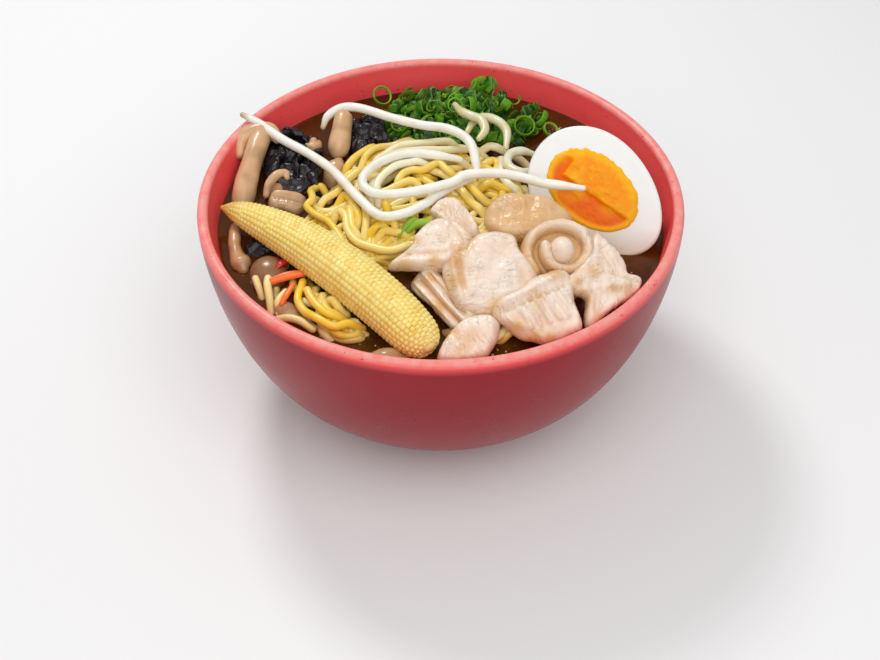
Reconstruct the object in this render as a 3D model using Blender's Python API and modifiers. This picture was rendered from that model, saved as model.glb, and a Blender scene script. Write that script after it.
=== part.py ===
"""A bowl of ramen: a turned stoneware bowl, the broth, and every topping as its own solid.

Frame: metres, +Z up, origin at the middle of the foot ring's flat underside.
The side the toppings face, where the sliced chicken lies, is -Y.
"""

import math

import bmesh
import bpy
from mathutils import Matrix, Vector

MM = 0.001

# driving dimensions, in millimetres
RIM_RADIUS = 95.0  # outside of the rim
BOWL_HEIGHT = 92.0
LIP_RADIUS = 2.2  # the rounded lip's own radius
WALL = 6.6  # below the lip's flare
FOOT_RADIUS = 37.0
FOOT_WIDTH = 5.0
FOOT_HEIGHT = 5.5
FLOOR_THICKNESS = 8.0
BROTH_LEVEL = 79.0
GAP = 0.3  # between solids that touch
SPROUT_RADIUS = 2.0
EGG_LENGTH = 59.0
EGG_WIDTH = 43.0
YOLK_LENGTH = 39.5
YOLK_WIDTH = 27.5
CORN_RADIUS = 9.7
SLICE_THICKNESS = 6.5  # of a chicken slice
EAR_THICKNESS = 4.0  # of a crumpled sheet of wood ear
ROLL_BAND = 3.6  # thickness of the rolled slice's band
ROLL_DEPTH = 14.0
ROLL_RADIUS = 12.8  # where its spiral starts
ROLL_END_RADIUS = 4.2

TURN_STEPS = 32
BELLY = 1.64  # how late the wall turns in towards the foot
OUTER_ROUNDING = 1 / 4.1  # how tight that turn is outside
INNER_ROUNDING = 1 / 3.9  # and inside
FLARE_FALL = 6.0  # depth over which the lip's flare dies away
CAGE_SHRINK = 1.17  # a subdivided cage draws in by about this much
LIP_HEIGHT = BOWL_HEIGHT - LIP_RADIUS  # of the lip's centre line
BODY_DEPTH = LIP_HEIGHT - 4.4  # from the lip's centre line to the body's lowest point
FLOOR_DEPTH = LIP_HEIGHT - FOOT_HEIGHT - FLOOR_THICKNESS  # and to the inside's


def clear_scene():
    for old in list(bpy.data.objects):
        bpy.data.objects.remove(old, do_unlink=True)


def new_collection(name):
    collection = bpy.data.collections.new(name)
    bpy.context.scene.collection.children.link(collection)
    return collection


def material(name, color, roughness, metallic=0.0):
    made = bpy.data.materials.new(name)
    made.use_nodes = True
    shader = made.node_tree.nodes["Principled BSDF"]
    shader.inputs["Base Color"].default_value = (*color, 1.0)
    shader.inputs["Roughness"].default_value = roughness
    shader.inputs["Metallic"].default_value = metallic
    return made


clear_scene()
PARTS = new_collection("ramen_bowl")
CUTTERS = new_collection("cutters")

GLAZE = material("coral_glaze", (0.60, 0.09, 0.09), 0.30)
BROTH = material("soy_broth", (0.10, 0.045, 0.015), 0.08)
NOODLE = material("egg_noodle", (0.80, 0.60, 0.16), 0.40)
SCALLION = material("scallion", (0.08, 0.30, 0.03), 0.40)
WHITE = material("egg_white", (0.90, 0.88, 0.82), 0.35)
YOLK = material("egg_yolk", (1.00, 0.33, 0.01), 0.25)
CORN = material("baby_corn", (0.85, 0.66, 0.25), 0.40)
CHICKEN = material("poached_chicken", (0.85, 0.70, 0.58), 0.50)
MUSHROOM = material("mushroom", (0.55, 0.38, 0.22), 0.40)
WOOD_EAR = material("wood_ear", (0.025, 0.018, 0.022), 0.25)
SPROUT = material("bean_sprout", (0.88, 0.86, 0.78), 0.35)
CARROT = material("carrot", (0.90, 0.22, 0.03), 0.40)


def add_mesh(name, bm, look, collection=None):
    """The bmesh as a named, smooth object; its points are in millimetres until here."""
    bmesh.ops.scale(bm, vec=(MM, MM, MM), verts=bm.verts)
    mesh = bpy.data.meshes.new(name)
    bm.to_mesh(mesh)
    bm.free()
    mesh.shade_smooth()
    mesh.set_sharp_from_angle(angle=math.radians(45))
    made = bpy.data.objects.new(name, mesh)
    (collection or PARTS).objects.link(made)
    made.data.materials.append(look)
    return made


def to_mesh_object(source, name, look, weld=True):
    """The object as its modifiers leave it, in world space, as a plain mesh; the source is removed."""
    bpy.context.view_layer.update()
    depsgraph = bpy.context.evaluated_depsgraph_get()
    mesh = bpy.data.meshes.new_from_object(source.evaluated_get(depsgraph))
    mesh.transform(source.matrix_world)
    bpy.data.objects.remove(source, do_unlink=True)
    bm = bmesh.new()
    bm.from_mesh(mesh)
    if weld:
        bmesh.ops.remove_doubles(bm, verts=bm.verts, dist=0.02 * MM)
    bmesh.ops.scale(bm, vec=(1 / MM, 1 / MM, 1 / MM), verts=bm.verts)
    return add_mesh(name, bm, look)


def placing(centre, facing, turn):
    """The matrix that takes a shape from lying on its back to its centre, with its +Z along facing."""
    normal = Vector(facing).normalized()
    across = (Vector((1, 0, 0)) - normal * normal.x).normalized()
    axes = Matrix((across, normal.cross(across), normal)).transposed().to_4x4()
    return Matrix.Translation(centre) @ axes @ Matrix.Rotation(math.radians(turn), 4, "Z")


def place(bm, centre, facing, turn=0.0):
    """Lays a shape whose points are in millimetres."""
    bmesh.ops.transform(bm, matrix=placing(centre, facing, turn), verts=bm.verts)


def smooth_route(points, per_span):
    """Points along a smooth curve through the given ones; each point is (x, y, z) or (x, y, z, radius)."""
    points = [Vector(p) for p in points]
    points = [2 * points[0] - points[1], *points, 2 * points[-1] - points[-2]]
    route = []
    for a, b, c, d in zip(points, points[1:], points[2:], points[3:]):
        for step in range(per_span):
            t = step / per_span
            bend = (3 * b - 3 * c + d - a) * t**3 + (2 * a - 5 * b + 4 * c - d) * t**2
            route.append(b + ((c - a) * t + bend) / 2)
    route.append(points[-2])
    return route


def tube(name, points, look, per_span=2, sides=6):
    """A solid along a smooth route of (x, y, z, radius) points."""
    curve = bpy.data.curves.new(name, "CURVE")
    curve.dimensions = "3D"
    curve.bevel_depth = MM
    curve.bevel_resolution = sides // 2 - 2
    curve.use_fill_caps = True
    route = smooth_route(points, per_span)
    spline = curve.splines.new("POLY")
    spline.points.add(len(route) - 1)
    for point, where in zip(spline.points, route):
        point.co = (where[0] * MM, where[1] * MM, where[2] * MM, 1.0)
        point.radius = where[3]
    source = bpy.data.objects.new(name + "_route", curve)
    PARTS.objects.link(source)
    return to_mesh_object(source, name, look)


def turned(name, profile, look, collection=None):
    """A solid of revolution; the profile runs from the axis up the inside and down the outside."""
    mesh = bpy.data.meshes.new(name)
    points = [(r * MM, 0.0, z * MM) for r, z in profile]
    mesh.from_pydata(points, [(i, i + 1) for i in range(len(points) - 1)], [])
    made = bpy.data.objects.new(name, mesh)
    (collection or PARTS).objects.link(made)
    made.data.materials.append(look)
    screw = made.modifiers.new("turn", "SCREW")
    screw.axis = "Z"
    screw.steps = screw.render_steps = TURN_STEPS
    screw.use_merge_vertices = True
    screw.merge_threshold = 0.00002
    screw.use_smooth_shade = True
    return made


# ---- the bowl

def outer_radius(depth):
    """Outside of the bowl at a depth below the lip's centre line: nearly upright, then round to the foot."""
    t = min(depth / BODY_DEPTH, 1.0)
    return RIM_RADIUS * (1 - t**BELLY) ** OUTER_ROUNDING


def inner_radius(depth):
    """Inside of the bowl: the same curve, set in by the wall, with the lip's flare at the top."""
    t = min(depth / FLOOR_DEPTH, 1.0)
    flare = (WALL - 2 * LIP_RADIUS) * math.exp(-depth / FLARE_FALL)
    return (RIM_RADIUS - WALL) * (1 - t**BELLY) ** INNER_ROUNDING + flare


def wall_points(radius_at, deepest, count):
    """Points down one side of the wall, closer together at the bottom, where the curve turns in."""
    drops = [0.999 * deepest * math.sin(math.pi / 2 * i / count) for i in range(count + 1)]
    return [(radius_at(drop), LIP_HEIGHT - drop) for drop in drops]


INSIDE = wall_points(inner_radius, FLOOR_DEPTH, 8)


def bowl_profile():
    outside = [p for p in wall_points(outer_radius, BODY_DEPTH, 10) if p[0] > FOOT_RADIUS + 1.0]
    lip_centre = RIM_RADIUS - LIP_RADIUS
    lip = []
    for angle in (140, 90, 40):
        turn = math.radians(angle)
        lip.append((lip_centre + LIP_RADIUS * math.cos(turn), LIP_HEIGHT + LIP_RADIUS * math.sin(turn)))
    foot_inside = FOOT_RADIUS - FOOT_WIDTH
    foot = [
        (FOOT_RADIUS + 0.6, FOOT_HEIGHT),
        (FOOT_RADIUS, 0.8),
        (FOOT_RADIUS - 0.8, 0.0),
        (foot_inside + 0.8, 0.0),
        (foot_inside, 0.8),
        (foot_inside - 1.5, FOOT_HEIGHT - 2.0),
    ]
    middle = [(0.0, LIP_HEIGHT - FLOOR_DEPTH)]
    return [*middle, *reversed(INSIDE), *lip, *outside, *foot, (0.0, FOOT_HEIGHT - 1.5)]


def room_profile(top, inset):
    """Everything inside the bowl up to a height, clear of its wall by inset."""
    side = []
    for (r, z), (next_r, next_z) in zip(INSIDE, INSIDE[1:]):
        if z > top > next_z:
            t = (z - top) / (z - next_z)
            side.append((r + (next_r - r) * t - inset, top))
        if next_z < top:
            side.append((next_r - inset, next_z + inset * (1 - next_r / RIM_RADIUS)))
    if top > LIP_HEIGHT:
        beyond = RIM_RADIUS + 20
        side.insert(0, (INSIDE[0][0] - inset, BOWL_HEIGHT + inset))
        side[:0] = [(beyond, top), (beyond, BOWL_HEIGHT + inset)]
    return [(0.0, top), *side, (0.0, INSIDE[-1][1] + inset)]


# ---- slices, sheets and heaps

def slab(name, rows, thickness, look, bow, ripple=0.0):
    """A soft slice on its back: rows of (y, left, right), bowed and rippled, then made thick and round."""
    columns = 2
    bm = bmesh.new()
    bmesh.ops.create_grid(bm, x_segments=columns, y_segments=len(rows) - 1, size=1.0)
    for vert in bm.verts:
        column = round((vert.co.x + 1) / 2 * columns)
        row = round((vert.co.y + 1) / 2 * (len(rows) - 1))
        y, left, right = (size * CAGE_SHRINK for size in rows[row])
        u = column / columns
        v = row / (len(rows) - 1)
        dome = (1 - (2 * u - 1) ** 2) * (1 - (2 * v - 1) ** 2)
        lift = bow * dome + ripple * math.cos(2.1 * row + 1.3 * column)
        vert.co = (left + (right - left) * u, y, lift)
    made = add_mesh(name, bm, look)
    solid = made.modifiers.new("thickness", "SOLIDIFY")
    solid.thickness = thickness * MM
    solid.offset = -1.0
    solid.use_even_offset = False
    soft = made.modifiers.new("soft", "SUBSURF")
    soft.levels = soft.render_levels = 1
    return made


def laid(made, centre, facing, turn=0.0):
    """Turns a finished slice to face a direction and moves it there, as a plain mesh."""
    name = made.name
    look = made.data.materials[0]
    made.name = name + "_flat"
    made.matrix_world = placing(Vector(centre) * MM, facing, turn)
    return to_mesh_object(made, name, look)


def around(values, angle):
    """A smooth value at an angle from evenly spaced ones given round the full circle."""
    place_on = (angle / (2 * math.pi)) % 1.0 * len(values)
    step = int(place_on)
    t = place_on - step
    ease = (1 - math.cos(math.pi * t)) / 2
    return values[step % len(values)] * (1 - ease) + values[(step + 1) % len(values)] * ease


def heap(name, centre, reach, top, bottom, look, segments, rings):
    """A mound with an uneven outline: reach gives its radii round the circle, top its height at (x, y)."""
    bm = bmesh.new()
    bmesh.ops.create_uvsphere(bm, u_segments=segments, v_segments=rings, radius=1.0)
    for vert in bm.verts:
        angle = math.atan2(vert.co.y, vert.co.x)
        out = math.hypot(vert.co.x, vert.co.y)
        x = centre[0] + around(reach, angle) * out * math.cos(angle)
        y = centre[1] + around(reach, angle) * out * math.sin(angle)
        edge = BROTH_LEVEL - 1.5
        if vert.co.z > -0.001:
            z = edge + (top(x, y) - edge) * vert.co.z ** 0.7 if vert.co.z > 0 else edge
        else:
            z = edge + (edge - bottom) * -abs(vert.co.z)
        vert.co = (x, y, z)
    return add_mesh(name, bm, look)


def hill(x, y, middle, height, spread):
    """One soft rise of a heap's top."""
    away = math.hypot(x - middle[0], y - middle[1]) / spread
    return height * math.exp(-away * away)


# ---- the pieces

def make_egg():
    """Half an egg, its cut face tipped up towards the front, and the half yolk set in it."""
    centre = (60.5, -4.0, 95.3)
    facing = (-0.13, -0.72, 0.68)
    halves = (
        ("egg_yolk", YOLK, YOLK_LENGTH, YOLK_WIDTH, YOLK_WIDTH * 0.42, 0.05, 1.9, 141.5, 14, 8),
        ("egg_white", WHITE, EGG_LENGTH, EGG_WIDTH, EGG_WIDTH * 0.49, 0.13, 0.0, 136.5, 18, 12),
    )
    made = []
    for name, look, length, width, depth, taper, shift, turn, around_count, along_count in halves:
        bm = bmesh.new()
        bmesh.ops.create_uvsphere(bm, u_segments=around_count, v_segments=along_count, radius=1.0)
        bmesh.ops.rotate(bm, verts=bm.verts, matrix=Matrix.Rotation(math.pi / 2, 3, "Y"))
        for vert in bm.verts:
            swell = 1 + taper * vert.co.x
            vert.co = (
                vert.co.x * length / 2 + shift,
                vert.co.y * width / 2 * swell,
                vert.co.z * depth * swell,
            )
        cut = bmesh.ops.bisect_plane(
            bm, geom=bm.verts[:] + bm.edges[:] + bm.faces[:], dist=0.001,
            plane_co=(0, 0, 0), plane_no=(0, 0, 1), clear_outer=True,
        )
        rim = [item for item in cut["geom_cut"] if isinstance(item, bmesh.types.BMEdge)]
        bmesh.ops.contextual_create(bm, geom=rim)
        place(bm, centre, facing, turn)
        made.append(add_mesh(name, bm, look))
    return made


def make_corn():
    """Baby corn: a long tapered ear, slightly bent, its thick end at the front rim."""
    route = [
        (-86.0, -2.0, 87.0, 0.8),
        (-81.0, -4.5, 87.3, 3.4),
        (-74.0, -9.0, 87.8, 5.6),
        (-64.0, -16.5, 88.3, 7.4),
        (-54.0, -25.0, 89.0, 8.7),
        (-44.0, -34.5, 89.3, CORN_RADIUS - 0.3),
        (-34.0, -44.5, 89.0, CORN_RADIUS),
        (-24.0, -55.0, 88.0, CORN_RADIUS),
        (-15.0, -65.0, 86.6, 9.3),
        (-7.5, -74.0, 85.4, 8.2),
        (-5.0, -77.2, 85.0, 6.8),
    ]
    return tube("baby_corn", route, CORN, per_span=1, sides=14)


def make_sprouts():
    """Three long bean sprouts that cross the bowl, and three shorter ones by the scallions."""
    r = SPROUT_RADIUS
    routes = {
        "sprout_left": [
            (-81.5, 48, 95.0), (-75, 44.5, 93.6), (-65, 37, 91), (-53, 28, 90), (-43, 16, 91),
            (-33, -2, 93), (-23.5, -15.5, 94), (-14, -15, 94.5), (-6, -10, 94), (1, -6, 93), (8, -3.5, 92.5),
        ],
        "sprout_middle": [
            (54.5, -9, 102), (46, -8.5, 103), (39, -7, 103), (31, -4, 103.5), (22, -1, 103),
            (10, 0, 101.5), (4, -3, 100), (-10, -6.5, 98.5), (-23, -7, 97.5), (-29.5, -2, 97),
            (-30, 5, 97), (-24, 13, 97.5), (-13, 18, 98), (-1, 18, 97), (8, 19, 94),
        ],
        "sprout_back": [
            (-49, 51, 86.5), (-47, 54, 90), (-41, 56.5, 92.5), (-33, 54, 94), (-20, 46, 95), (-8, 40.5, 95.5),
            (2, 35.5, 97.5), (9, 29, 98.5), (12.5, 22, 98.5), (14, 14, 96), (14.5, 9, 94),
        ],
        "sprout_curl": [
            (6, 58, 93), (8.5, 50.5, 95), (12.5, 46, 96), (16.5, 43, 96), (18, 37, 95.5), (15.5, 32.5, 94.5),
        ],
        "sprout_arch": [
            (11, 42, 91), (14, 47.5, 92.5), (19, 49, 93), (24, 46, 93), (27, 39, 93.2), (26.5, 30, 92),
        ],
        "sprout_loop": [
            (37.5, 27.5, 90.5), (33, 27.5, 92), (28.5, 25.5, 92.3), (26.5, 20.5, 92.3), (28, 15.5, 92.6),
            (32, 12.5, 93), (36.5, 13.5, 93.4),
        ],
    }
    made = []
    for name, route in routes.items():
        ends = [(*p, r * (0.55 if i in (0, len(route) - 1) else 1.0)) for i, p in enumerate(route)]
        made.append(tube(name, ends, SPROUT))
    return made


def make_chicken():
    """Sliced poached chicken, laid like roof tiles down to the front rim, with one slice rolled up."""
    slices = (
        # name, centre, facing, turn, rows of (y, left, right), bow, ripple
        ("chicken_centre", (15, -51.5, 97), (0, -0.5, 0.86), 0,
         [(-16, -5, 4), (-10, -10, 10), (-3, -13, 18), (5, -11, 16), (14, -2, 11)], 2.0, 0.5),
        ("chicken_right", (60.5, -52, 92.5), (0.25, -0.41, 0.86), 0,
         [(-17, -9, -4), (-11, -11, 1), (-4, -13, 9), (3, -10, 12), (10, -6, 7), (18, -3, 2)], 1.5, 0.7),
        ("chicken_front", (37.5, -66, 91), (0.05, -0.5, 0.86), 0,
         [(-11, -6, 3), (-6, -12, 12), (0, -17, 11), (6, -12, 10), (13, -2, 8)], 1.5, 0.5),
        ("chicken_left", (0, -33, 95.5), (-0.1, -0.35, 0.93), 0,
         [(-11, -5, 4), (-7, -14, 10), (-1, -9, 12), (5, -8, 9), (10, -3, 4)], 2.0, 0.3),
        ("chicken_back", (30, -22, 99), (-0.1, -0.3, 0.95), 0,
         [(-10, -5, 5), (-5, -12, 12), (0, -13, 16), (5, -11, 13), (9, -5, 6)], 3.0, 0.2),
        ("chicken_leaf", (5.5, -18, 94.5), (0, -0.25, 0.97), 0,
         [(-10, 3, 12), (-5, -1, 10), (0, -6, 8), (6, -8, 4), (11, -5, 0)], 1.0, 0.2),
        ("chicken_small", (10, -74.5, 87), (-0.1, -0.3, 0.95), 0,
         [(-8, -9, 3), (-3, -9, 8), (2, -6, 10), (8, 0, 7)], 1.5, 0.2),
        ("chicken_fold", (0, -55, 86.5), (-0.5, -0.4, 0.77), 40,
         [(-14, -3, 3), (-7, -4, 4), (1, -4, 4), (8, -5, 4), (14, -3, 3)], 1.0, 0.4),
    )
    made = [make_rolled_slice()]
    for name, centre, facing, turn, rows, bow, ripple in slices:
        flat = slab(name, rows, SLICE_THICKNESS, CHICKEN, bow=bow, ripple=ripple)
        made.append(laid(flat, centre, facing, turn))
    return made


def make_rolled_slice():
    """A slice rolled into a spiral that shows its end: a band along a shrinking turn."""
    turns = 1.45
    points = 17
    curve = bpy.data.curves.new("chicken_rolled_route", "CURVE")
    curve.dimensions = "3D"
    curve.twist_mode = "Z_UP"
    curve.bevel_depth = ROLL_BAND / 2 * MM
    curve.bevel_resolution = 1
    curve.extrude = (ROLL_DEPTH - ROLL_BAND) / 2 * MM
    curve.use_fill_caps = True
    spline = curve.splines.new("POLY")
    spline.points.add(points - 1)
    for i, point in enumerate(spline.points):
        t = i / (points - 1)
        angle = math.radians(235) - 2 * math.pi * turns * t
        radius = ROLL_RADIUS + (ROLL_END_RADIUS - ROLL_RADIUS) * t
        point.co = (radius * 1.08 * math.cos(angle) * MM, radius * 0.92 * math.sin(angle) * MM, 0.0, 1.0)
    source = bpy.data.objects.new("chicken_rolled_route", curve)
    PARTS.objects.link(source)
    flat = to_mesh_object(source, "chicken_rolled", CHICKEN)
    return laid(flat, (44.5, -40.5, 97), (0.1, -0.45, 0.89))


def make_mushrooms():
    """Small brown mushrooms along the left side: whole ones with stem and cap, stubs and one round cap."""
    routes = {
        "mushroom_tall": [
            (-79.5, 10, 76, 4.4), (-79, 19, 82, 5.2), (-77, 28, 86.5, 4.6), (-75.5, 35, 89, 5.4),
            (-74.5, 39, 90, 6.6), (-74, 42.5, 90.5, 5.6), (-73.8, 44.6, 90.7, 2.2),
        ],
        "mushroom_upright": [
            (-40.5, 55, 91.2, 2.0), (-40.5, 53, 90.6, 3.6), (-41, 47, 88, 4.2), (-42, 41.5, 84.8, 4.6),
            (-42.4, 38.5, 82.2, 3.8), (-42.6, 37, 80.6, 1.8),
        ],
        "mushroom_stub": [
            (-42, 31.5, 82.5, 2.4), (-42.6, 29.5, 81.8, 4.6), (-43.5, 25.5, 79.5, 4.8),
            (-44.3, 22, 76.5, 3.4),
        ],
        "mushroom_button": [
            (-52.5, 41.5, 86.5, 1.6), (-52.5, 41.2, 85.6, 3.4), (-53, 40.5, 82.5, 3.6),
            (-53.5, 40, 78.5, 2.4),
        ],
        "mushroom_stem": [
            (-81, -6.5, 80.5, 1.8), (-80.6, -11, 80.6, 2.4), (-80, -17, 80.2, 2.4), (-78.5, -23, 79.6, 3.0),
            (-76.5, -27.5, 79.2, 4.0), (-75.5, -30, 79, 2.2),
        ],
    }
    made = [tube(name, route, MUSHROOM) for name, route in routes.items()]
    bm = bmesh.new()
    bmesh.ops.create_uvsphere(bm, u_segments=14, v_segments=8, radius=1.0)
    for vert in bm.verts:
        under = 0.45 if vert.co.z < 0 else 1.0
        vert.co = (vert.co.x * 7.4, vert.co.y * 8.2, vert.co.z * 5.2 * under)
    place(bm, (-65.5, -33.5, 79.5), (-0.1, -0.25, 0.96), 20)
    made.append(add_mesh("mushroom_cap", bm, MUSHROOM))
    sliced = slab("mushroom_sliced", [(-5, -5, 5), (0, -8, 8), (5, -6, 6)], 5.0, MUSHROOM, bow=2.0)
    made.append(laid(sliced, (-61, 8.5, 81.0), (0.1, -0.15, 0.98), -12))
    return made


def make_wood_ears():
    """Dark, crumpled sheets of wood ear fungus, half sunk in the broth."""
    sheets = (
        ("wood_ear_large", (-61, 32, 84), (0.05, -0.1, 0.99), -8,
         [(-17, -7, 6), (-9, -10, 10), (0, -11, 12), (9, -10, 12), (17, -6, 8)], 1.6),
        ("wood_ear_back", (-31, 49, 84), (0, -0.2, 0.98), 0,
         [(-9, -7, 6), (-3, -8, 9), (4, -9, 8), (10, -5, 5)], 1.2),
        ("wood_ear_small", (-67, -14, 80), (0.1, -0.1, 0.98), 42,
         [(-5, -8, 8), (0, -11, 11), (5, -7, 7)], 0.8),
    )
    made = []
    for name, centre, facing, turn, rows, ripple in sheets:
        flat = slab(name, rows, EAR_THICKNESS, WOOD_EAR, bow=1.0, ripple=ripple)
        made.append(laid(flat, centre, facing, turn))
    return made


def make_carrots():
    """Two short matchsticks of carrot."""
    long_route = [(-63.5, -41.5, 83.5, 1.4), (-58, -40, 84.6, 1.7), (-52, -38.5, 84.8, 1.4)]
    short_route = [(-55.5, -44.5, 84, 1.3), (-57.5, -49, 83.2, 1.6), (-59, -52.5, 82.4, 1.2)]
    return [tube("carrot_long", long_route, CARROT), tube("carrot_short", short_route, CARROT)]


def noodle_top(x, y):
    height = BROTH_LEVEL + 1.5 + hill(x, y, (-8, 12), 13.5, 34) + hill(x, y, (24, -34), 11.0, 34)
    return height + hill(x, y, (-44, -56), 4.0, 20) + 0.8 * math.sin(x / 3.1) * math.cos(y / 3.7)


def make_noodles():
    """The heap of noodles: its outline runs round the toppings, and it rises towards the middle."""
    reach = [58, 53, 56, 58, 58, 57, 47, 60, 68, 64, 64, 65]
    return heap("noodles", (-5, -15), reach, noodle_top, 48.0, NOODLE, segments=22, rings=8)


def scallion_top(x, y):
    height = BROTH_LEVEL + 6.5 + hill(x, y, (14, 66), 4.5, 16) + hill(x, y, (-10, 62), 3.0, 14)
    return height + hill(x, y, (20, 76), 7.0, 5) + 0.7 * math.sin(x / 2.3) * math.cos(y / 2.9)


def make_scallions():
    """The heap of cut scallions against the back wall."""
    reach = [37, 31, 20, 19, 22, 32, 37, 31, 22, 19, 20, 30]
    return heap("scallions", (8, 61.5), reach, scallion_top, 71.0, SCALLION, segments=20, rings=6)


# ---- fitting the pieces together

def world_box(made):
    corners = [made.matrix_world @ Vector(c) for c in made.bound_box]
    low = [min(c[i] for c in corners) - GAP * MM for i in range(3)]
    high = [max(c[i] for c in corners) + GAP * MM for i in range(3)]
    return low, high


def boxes_meet(one, other):
    (low_a, high_a), (low_b, high_b) = world_box(one), world_box(other)
    return all(low_a[i] <= high_b[i] and low_b[i] <= high_a[i] for i in range(3))


def grown_cutter(made):
    """A copy of a piece that is larger by the gap all round."""
    bm = bmesh.new()
    bm.from_mesh(made.data)
    bm.normal_update()
    moves = [(vert, vert.normal * GAP * 1.25 * MM) for vert in bm.verts]
    for vert, move in moves:
        vert.co += move
    mesh = bpy.data.meshes.new(made.name + "_clearance")
    bm.to_mesh(mesh)
    bm.free()
    cutter = bpy.data.objects.new(made.name + "_clearance", mesh)
    CUTTERS.objects.link(cutter)
    cutter.hide_render = True
    cutter.display_type = "WIRE"
    return cutter


def cut(made, cutter, operation="DIFFERENCE"):
    boolean = made.modifiers.new(cutter.name, "BOOLEAN")
    boolean.operation = operation
    boolean.solver = "MANIFOLD"
    boolean.object = cutter


def keep_main_body(made):
    """Applies the cuts and drops the crumbs that they leave, so that the piece is one body."""
    name = made.name
    look = made.data.materials[0]
    made.name = name + "_cut"
    whole = to_mesh_object(made, name, look, weld=False)
    bm = bmesh.new()
    bm.from_mesh(whole.data)
    unseen = set(bm.verts)
    bodies = []
    while unseen:
        body = {unseen.pop()}
        edge_of_body = list(body)
        while edge_of_body:
            vert = edge_of_body.pop()
            for edge in vert.link_edges:
                other = edge.other_vert(vert)
                if other in unseen:
                    unseen.remove(other)
                    body.add(other)
                    edge_of_body.append(other)
        bodies.append(body)
    bodies.sort(key=len)
    for body in bodies[:-1]:
        bmesh.ops.delete(bm, geom=list(body), context="VERTS")
    bm.to_mesh(whole.data)
    bm.free()
    return whole


def fit_together(ranked, room):
    """Cuts each piece clear of the ones ranked before it, and of the bowl's wall."""
    done = []
    cutters = []
    for made in ranked:
        bpy.context.view_layer.update()
        low, high = world_box(made)
        reach = max(math.hypot(x, y) for x in (low[0], high[0]) for y in (low[1], high[1]))
        before = [cutter for other, cutter in zip(done, cutters) if boxes_meet(made, other)]
        cutters.append(grown_cutter(made))
        for cutter in before:
            cut(made, cutter)
        if reach > (RIM_RADIUS - WALL - 5) * MM:
            cut(made, room, "INTERSECT")
        done.append(keep_main_body(made) if made.modifiers else made)
        print(done[-1].name, "cut by", len(before), "faces", len(done[-1].data.polygons))
    return done


def build():
    turned("bowl", bowl_profile(), GLAZE)
    room = turned("bowl_room", room_profile(160.0, GAP * 1.5), GLAZE, collection=CUTTERS)
    room.hide_render = True
    room.display_type = "WIRE"
    pieces = [
        *make_sprouts(),
        *make_egg(),
        make_corn(),
        *make_chicken(),
        *make_carrots(),
        *make_mushrooms(),
        *make_wood_ears(),
        make_scallions(),
        make_noodles(),
    ]
    broth = turned("broth_uncut", room_profile(BROTH_LEVEL, GAP), BROTH)
    pieces.append(to_mesh_object(broth, "broth", BROTH))
    fit_together(pieces, room)


build()
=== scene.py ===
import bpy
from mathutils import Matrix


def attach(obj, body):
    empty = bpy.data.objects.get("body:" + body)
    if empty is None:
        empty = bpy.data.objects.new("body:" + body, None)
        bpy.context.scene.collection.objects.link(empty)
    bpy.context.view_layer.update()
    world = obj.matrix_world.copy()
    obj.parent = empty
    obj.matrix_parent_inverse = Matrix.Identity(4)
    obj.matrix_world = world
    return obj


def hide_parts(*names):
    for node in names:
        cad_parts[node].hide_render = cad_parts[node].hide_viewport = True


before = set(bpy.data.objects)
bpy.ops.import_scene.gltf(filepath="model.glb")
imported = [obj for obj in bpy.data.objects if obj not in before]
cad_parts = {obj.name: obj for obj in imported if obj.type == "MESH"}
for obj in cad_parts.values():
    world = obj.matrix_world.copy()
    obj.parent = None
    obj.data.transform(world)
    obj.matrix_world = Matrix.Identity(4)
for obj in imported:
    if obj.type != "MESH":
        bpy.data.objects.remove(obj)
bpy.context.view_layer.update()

import math
import random

import bmesh
import bpy
from mathutils import Matrix, Vector, noise

noise.seed_set(5)  # the same crumples each run

# shapes are made in millimetres and scaled at the end
mm = 0.001
fullTurn = 2 * math.pi
rgba = {"data_type": "RGBA"}


# an sRGB hex value as the linear colour that a shader takes
def linear(hexColour):
    parts = [int(hexColour[i : i + 2], 16) / 255 for i in (1, 3, 5)]
    return (*[p / 12.92 if p <= 0.04045 else ((p + 0.055) / 1.055) ** 2.4 for p in parts], 1.0)


# links sources to a node's inputs; a source that is a node gives its first output in use
def connect(tree, node, links):
    for name, source in links.items():
        if isinstance(source, bpy.types.Node):
            source = next(output for output in source.outputs if output.enabled)
        tree.links.new(source, node.inputs[name])


# adds one shader node with its settings, plain values and links
def addNode(tree, kind, settings={}, values={}, links={}):
    node = tree.nodes.new("ShaderNode" + kind)
    for name, value in settings.items():
        setattr(node, name, value)
    for name, value in values.items():
        node.inputs[name].default_value = value
    connect(tree, node, links)
    return node


# a material with its Principled shader set from plain values
def newMaterial(name, values):
    look = bpy.data.materials.new(name)
    look.use_nodes = True
    shader = look.node_tree.nodes["Principled BSDF"]
    for socket, value in values.items():
        shader.inputs[socket].default_value = value
    return look, look.node_tree, shader


# steps smoothly from 0 to 1 as value goes from low to high
def smoothStep(value, low, high):
    t = min(max((value - low) / (high - low), 0.0), 1.0)
    return t * t * (3 - 2 * t)


# how far a flat point is from the stretch between two others
def distanceTo(x, y, start, end):
    along = Vector(end) - Vector(start)
    t = max(0.0, min(1.0, (Vector((x, y)) - Vector(start)).dot(along) / along.length_squared))
    return (Vector((x, y)) - Vector(start) - along * t).length


# the flat point at a distance and an angle from a middle
def pointAt(middle, out, angle):
    return middle[0] + out * math.cos(angle), middle[1] + out * math.sin(angle)


# turns a shape lying on its back so that its +Z looks along facing, then moves it to centre
def placing(centre, facing, turn=0.0):
    normal = Vector(facing).normalized()
    across = (Vector((1, 0, 0)) - normal * normal.x).normalized()
    axes = Matrix((across, normal.cross(across), normal)).transposed().to_4x4()
    return Matrix.Translation(centre) @ axes @ Matrix.Rotation(math.radians(turn), 4, "Z")


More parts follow.
